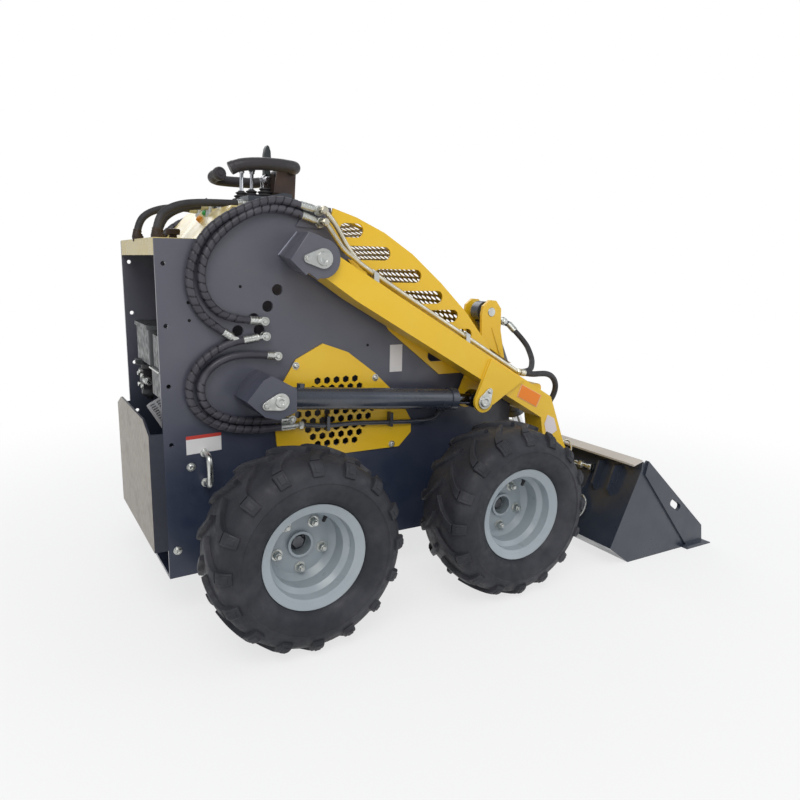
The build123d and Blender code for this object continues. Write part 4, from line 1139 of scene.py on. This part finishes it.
def teardrop(bm, place, tail, big, small, y_a, y_b):
    """A keeper plate whose outline wraps round the pin and its bolt."""
    apart = hypot(*tail)
    lean = atan2(tail[1], tail[0])
    open_angle = asin((big - small) / apart)
    outline = []
    tip = (place[0] + tail[0], place[1] + tail[1])
    quarter = pi / 2
    for middle, radius, start, end in (
        (place, big, lean + quarter - open_angle, lean + 3 * quarter + open_angle),
        (tip, small, lean - quarter + open_angle, lean + quarter - open_angle),
    ):
        for i in range(13):
            turn = start + (end - start) * i / 12
            outline.append((middle[0] + radius * cos(turn), middle[1] + radius * sin(turn)))
    plate(bm, outline, y_a, y_b)


def make_pins():
    """Keepers with their bolts on the chassis, and the boom's pins with theirs."""
    bm = bmesh.new()
    for side in (-1, 1):
        out = Vector((0, side, 0))
        for place, tail, radius, face in PINS:
            teardrop(bm, place, tail, radius + 7.4, 9.4, side * (face - 7), side * (face + 0.4))
            rod(bm, at(place[0], side * PLATE_OUT, place[1]), at(place[0], side * face, place[1]), radius)
            start = at(place[0], side * (face + 0.4), place[1])
            steps = [(0, 1), (2.5, 1), (3.5, 0), (3.5, -6), (2.5, -7), (2.5, -radius)]
            lathe(bm, start, out, [(along, radius + more) for along, more in steps])
            nut(bm, at(place[0] + tail[0], side * (face + 0.4), place[1] + tail[1]), out, 11, 4.5, 0.2)
    piece("chassis_keepers", bm, ZINC, "chassis", ("chassis_pins",), bevel=0.8)
    bm = bmesh.new()
    for side in (-1, 1):
        out = Vector((0, side, 0))
        teardrop(bm, LIFT_FRONT, (15, 27), 20, 9, side * 316, side * 321)
        start = at(LIFT_FRONT[0], side * 321, LIFT_FRONT[1])
        lathe(bm, start, out, PIN_HEAD)
        nut(bm, at(LIFT_FRONT[0] + 15, side * 321, LIFT_FRONT[1] + 27), out, 11, 4.5)
        rod(bm, at(TOWER[0], 0, TOWER[1]), at(TOWER[0], side * 52, TOWER[1]), 14, 28, 1.5)
        rod(bm, at(TIP[0], side * 219, TIP[1]), at(TIP[0], side * 325, TIP[1]), 14, 28, 1.5)
    piece("boom_pin_set", bm, ZINC, "boom", ("boom_pins",), bevel=0.8)


def label(name, corners, y, side, skin, body, frame_skin=None, inset=0):
    """A thin blank plate with corners of (x, z), stuck on a face at y."""
    bm = bmesh.new()
    plate(bm, corners, side * y, side * (y + 0.8))
    piece(name, bm, frame_skin or skin, body, bevel=0.3)
    if inset:
        middle_x = sum(x for x, z in corners) / len(corners)
        middle_z = sum(z for x, z in corners) / len(corners)
        inner = []
        for x, z in corners:
            reach = hypot(x - middle_x, z - middle_z)
            share = 1 - inset / reach
            inner.append((middle_x + (x - middle_x) * share, middle_z + (z - middle_z) * share))
        bm = bmesh.new()
        plate(bm, inner, side * (y + 0.7), side * (y + 1.2))
        piece(name + "_face", bm, skin, body)


# Blank plates: name, corners of (x, z), the face's distance, skin, body, the frame's skin and width
LABELS = [
    ("tie", [(-192, 400), (-112, 404), (-112, 443), (-192, 440)],
     PLATE_OUT, PLATE_WHITE, "chassis", None, 0),
    ("tie_band", [(-192, 435), (-112, 438), (-112, 446), (-192, 443)],
     PLATE_OUT + 0.4, PLATE_RED, "chassis", None, 0),
    ("side", [(333, 560), (370, 560), (370, 631), (333, 631)],
     PLATE_OUT, PLATE_WHITE, "chassis", None, 0),
    ("boom", [(699, 519), (776, 481), (759, 447), (685, 484)],
     ARM_OUT, PLATE_ORANGE, "boom", PLATE_AMBER, 5),
    ("leg", [(803, 422), (829, 409), (843, 372), (822, 361), (802, 366), (793, 396)],
     ARM_OUT, PLATE_LILAC, "boom", None, 0),
]


def make_labels():
    """The blank plates on both sides."""
    for side_name, side in SIDES:
        for name, corners, y, skin, body, frame_skin, inset in LABELS:
            label(f"plate_{name}_{side_name}", corners, y, side, skin, body, frame_skin, inset)


def make_wheel_parts():
    """Nuts, stud ends, the hub's castle nut and the valve of each wheel."""
    valve_turn = radians(37)
    ray = Vector((sin(valve_turn), 0, cos(valve_turn)))
    for wheel, side, centre in WHEELS:
        body = f"wheel_{wheel}"
        out = Vector((0, side, 0))
        bm = bmesh.new()
        for i in range(5):
            turn = radians(36 + 72 * i)
            spot = centre + Vector((56 * sin(turn), 0, 56 * cos(turn))) * MM - out * 18 * MM
            lathe(bm, spot, out, [(0, 13), (1.5, 13), (1.6, 9)], 24)
            nut(bm, spot, out, 17.5, 12.5, 0.3 + i)
            lathe(bm, spot + out * 12 * MM, out, [(0, 5.6), (5.5, 5.6), (6.5, 4.8)], 16)
        piece(f"wheel_nuts_{wheel}", bm, ZINC, body)
        bm = bmesh.new()
        hub = centre - out * 42 * MM
        lathe(bm, hub, out, [(0, 22), (4, 22), (5, 12), (14, 12), (15, 10)])
        nut(bm, hub + out * 4 * MM, out, 30, 12, 0.2)
        for i in range(6):
            turn = radians(60 * i)
            spot = hub + Vector((17 * sin(turn), 0, 17 * cos(turn))) * MM + out * 4 * MM
            nut(bm, spot, out, 6.5, 4)
        piece(f"hub_nut_{wheel}", bm, HUB, body)
        bm = bmesh.new()
        foot = centre + ray * 96 * MM + out * 10 * MM
        stem = [(-6, 9), (0, 8), (4, 5.6), (16, 4.8), (17, 4.2), (26, 4.2), (28, 3.4)]
        lathe(bm, foot, out * 0.25 - ray, stem, 18)
        piece(f"valve_{wheel}", bm, RUBBER, body)


# Weld beads on the boom: start and end of (x, z), the distance of the face at each end, radius
BEADS = [
    ((788, 650), (826, 556), (49.5, 49.5), 3.2),
    ((758, 502), (838, 502), (49.5, 49.5), 3.2),
    ((585, 592), (541, 492), (ARM_OUT, ARM_OUT + 1), 2.4),
    ((700, 530), (600, 470), (ARM_OUT, ARM_OUT + 1), 2.4),
]
ELBOW = [(895.6, -31.8, 634.2), (881.5, -14.5, 656), (868, 0, 663)]


def make_boom_parts():
    """Weld beads, the hose guide on the leg and the tilt hose's elbow on the cylinder."""
    bm = bmesh.new()
    for side in (-1, 1):
        for (x_a, z_a), (x_b, z_b), (y_a, y_b), radius in BEADS:
            rod(bm, at(x_a, side * y_a, z_a), at(x_b, side * y_b, z_b), radius, 10)
    piece("boom_welds", bm, WELD, "boom", crease=60)
    bm = bmesh.new()
    turns = [2 * pi * i / 24 for i in range(24)]
    loop = [at(893 + 20 * cos(turn) - 4 * sin(turn), -300, 312 + 25 * sin(turn)) for turn in turns]
    tube(bm, loop, 3.2, 12, closed=True)
    piece("hose_guide", bm, PIPE, "boom")
    bm = bmesh.new()
    start, corner, end = (at(*place) for place in ELBOW)
    rod(bm, start, corner, 10.6)
    rod(bm, corner, end, 7.5)
    lathe(bm, at(868, 12, 663), (0, -1, 0), [(0, 11), (1, 12.6), (23, 12.6), (24, 11.5)], 28)
    nut(bm, at(868, -12, 663), (0, -1, 0), 16, 6)
    piece("tilt_banjo", bm, ZINC, "tilt_barrel")


def make_bay_parts():
    """Small parts in the engine bay that show from behind."""
    bm = bmesh.new()
    plate(bm, [(-243, 588), (-239, 588), (-239, 592), (-243, 592)], -204, -100)
    for y, z in ((46, 520), (86, 520), (66, 556), (44, 548), (88, 548)):
        nut(bm, at(-232, y, z), (-1, 0, 0), 11, 6)
    rod(bm, at(-224, 16, 536), at(-224, 46, 536), 10, 20)
    nut(bm, at(-224, 16, 536), (0, -1, 0), 15, 8)
    piece("bay_metal", bm, ZINC, "chassis", bevel=0.8)
    bm = bmesh.new()
    lathe(bm, at(-213, 66, 512), (0, 0, -1), [(0, 20), (14, 20), (20, 16), (24, 8), (30, 6), (31, 3)], 28)
    for i in range(3):
        lathe(bm, at(-224, 66, 574 + 5 * i), UP, [(0, 21), (2, 22.5), (4, 21)], 28)
    for y in (-146, -182):
        lathe(bm, at(-204, y, 668), UP, [(0, 9), (3, 9), (4, 6), (10, 6)], 20)
    piece("bay_trim", bm, CASE, "chassis", bevel=1.5)


def make_latches():
    """The quick attach's latch pins and links, on the bucket's sloping back."""
    lean = Vector((100, 0, 218)).normalized()
    off = Vector((-218, 0, 100)).normalized()
    foot = at(910, 0, 57)
    bm = bmesh.new()
    for side in (-1, 1):
        pin = foot + lean * 200 * MM + off * 22 * MM
        pin.y = side * 262 * MM
        lathe(bm, pin, (0, side, 0), [(0, 6), (1, 7), (58, 7), (60, 10), (70, 10), (72, 6)], 20)
        nut(bm, pin + Vector((0, side * 20 * MM, 0)), (0, side, 0), 22, 14)
        link = []
        for i in range(32):
            turn = 2 * pi * i / 32
            middle = Vector((foot.x, side * (330 + 26 * cos(turn)) * MM, foot.z))
            link.append(middle + lean * (76 + 36 * sin(turn)) * MM + off * 15 * MM)
        tube(bm, link, 4, 12, closed=True)
    piece("latch_set", bm, ZINC, "attachment")


# The boom bracket's outer ear, and the foot of its folded wall on the side plate
BRACKET_EAR = [(21, 840), (64, 901), (92, 892)]
BRACKET_TAIL = [(84, 797), (63, 812), (57, 806)]
BRACKET_FEET = [(79, 903), (34, 850), (66, 818)]
EAR_Y = (315, 323)
# The walls' feet that carry a thin rod with a painted highlight
HIGHLIGHT_EDGES = [((79, 904), (33, 850)), ((-41, 564), (-73, 527))]


def slab(ear_a, ear_b, foot_a, foot_b, inward):
    """A bent wall from an edge of the ear to its foot on the plate, with its thickness inward."""
    rings = []
    for (x, z), y in ((ear_a, EAR_Y[1] - 2), (ear_b, EAR_Y[1] - 2), (foot_b, PLATE_OUT), (foot_a, PLATE_OUT)):
        rings.append([(x, y, z), (x + inward[0], y, z + inward[1])])
    return rings


def make_brackets():
    """The boom's brackets with their folded walls and bosses, and thin rods along the walls' feet, painted
    paler as a highlight.
    """
    bm = bmesh.new()
    edges = bmesh.new()
    walls = [
        (BRACKET_EAR[1], BRACKET_EAR[0], BRACKET_FEET[0], BRACKET_FEET[1], (6.5, -4.6)),
        (BRACKET_EAR[0], BRACKET_TAIL[2], BRACKET_FEET[1], BRACKET_FEET[2], (5.4, 5.9)),
    ]
    turns = [radians(84 - 180 * i / 14) for i in range(15)]
    outline = BRACKET_EAR + [(96 + 44 * cos(turn), 844 + 44 * sin(turn)) for turn in turns] + BRACKET_TAIL
    for side in (-1, 1):
        plate(bm, outline, side * EAR_Y[0], side * EAR_Y[1])
        for wall in walls:
            verts = [[bm.verts.new(at(x, side * y, z)) for x, y, z in ring] for ring in slab(*wall)]
            bridge(bm, [[ring[0] for ring in verts], [ring[1] for ring in verts]])
        for y, depth in ((308.5, 6.5), (PLATE_OUT, 17)):
            lathe(bm, at(96, side * y, 844), (0, side, 0), [(0, 24), (depth, 24)], 28)
        # Pale rods along the walls' feet: painted highlight.
        for (x_a, z_a), (x_b, z_b) in HIGHLIGHT_EDGES:
            rod(edges, at(x_a, side * 214, z_a), at(x_b, side * 214, z_b), 1.7, 8)
    piece("boom_bracket_set", bm, SLATE, "chassis", ("boom_brackets",), bevel=1.5)
    piece("bracket_edge_highlights", edges, EDGE_HIGHLIGHT, "chassis")


# The bent loop's corners on the plate as (x, y, z)
TIE_LOOP = [
    (-151, 213, 401), (-151, 244, 401), (-151, 255, 389), (-151, 255, 342), (-151, 244, 330),
    (-151, 213, 330),
]


def make_tie_downs():
    """The tie-down loops with their collars."""
    bm = bmesh.new()
    for side in (-1, 1):
        tube(bm, arc_points([at(x, side * y, z) for x, y, z in TIE_LOOP]), 7, 18)
        for z in (401, 330):
            lathe(bm, at(-151, side * PLATE_OUT, z), (0, side, 0), [(0, 11), (2, 10), (3.5, 7)], 20)
    piece("tie_loops", bm, ZINC, "chassis", ("tie_downs",))


def make_tyres():
    """The four tyres, the left ones mirrored."""
    for wheel, side, centre in WHEELS:
        bm = tyre_mesh()
        place = Matrix.Translation(centre)
        if side > 0:
            place = place @ Matrix.Scale(-1, 4, (0, 1, 0))
        bmesh.ops.transform(bm, matrix=place, verts=bm.verts)
        piece(f"tread_{wheel}", bm, TYRE, f"wheel_{wheel}", (f"tyre_{wheel}",), crease=28)


make_tyres()
make_wheel_parts()
make_hoses()
make_fittings()
make_pipes()
make_hood()
make_bar()
make_levers()
make_deck_parts()
make_fasteners()
make_pins()
make_labels()
make_boom_parts()
make_bay_parts()
make_latches()
make_tie_downs()
make_brackets()
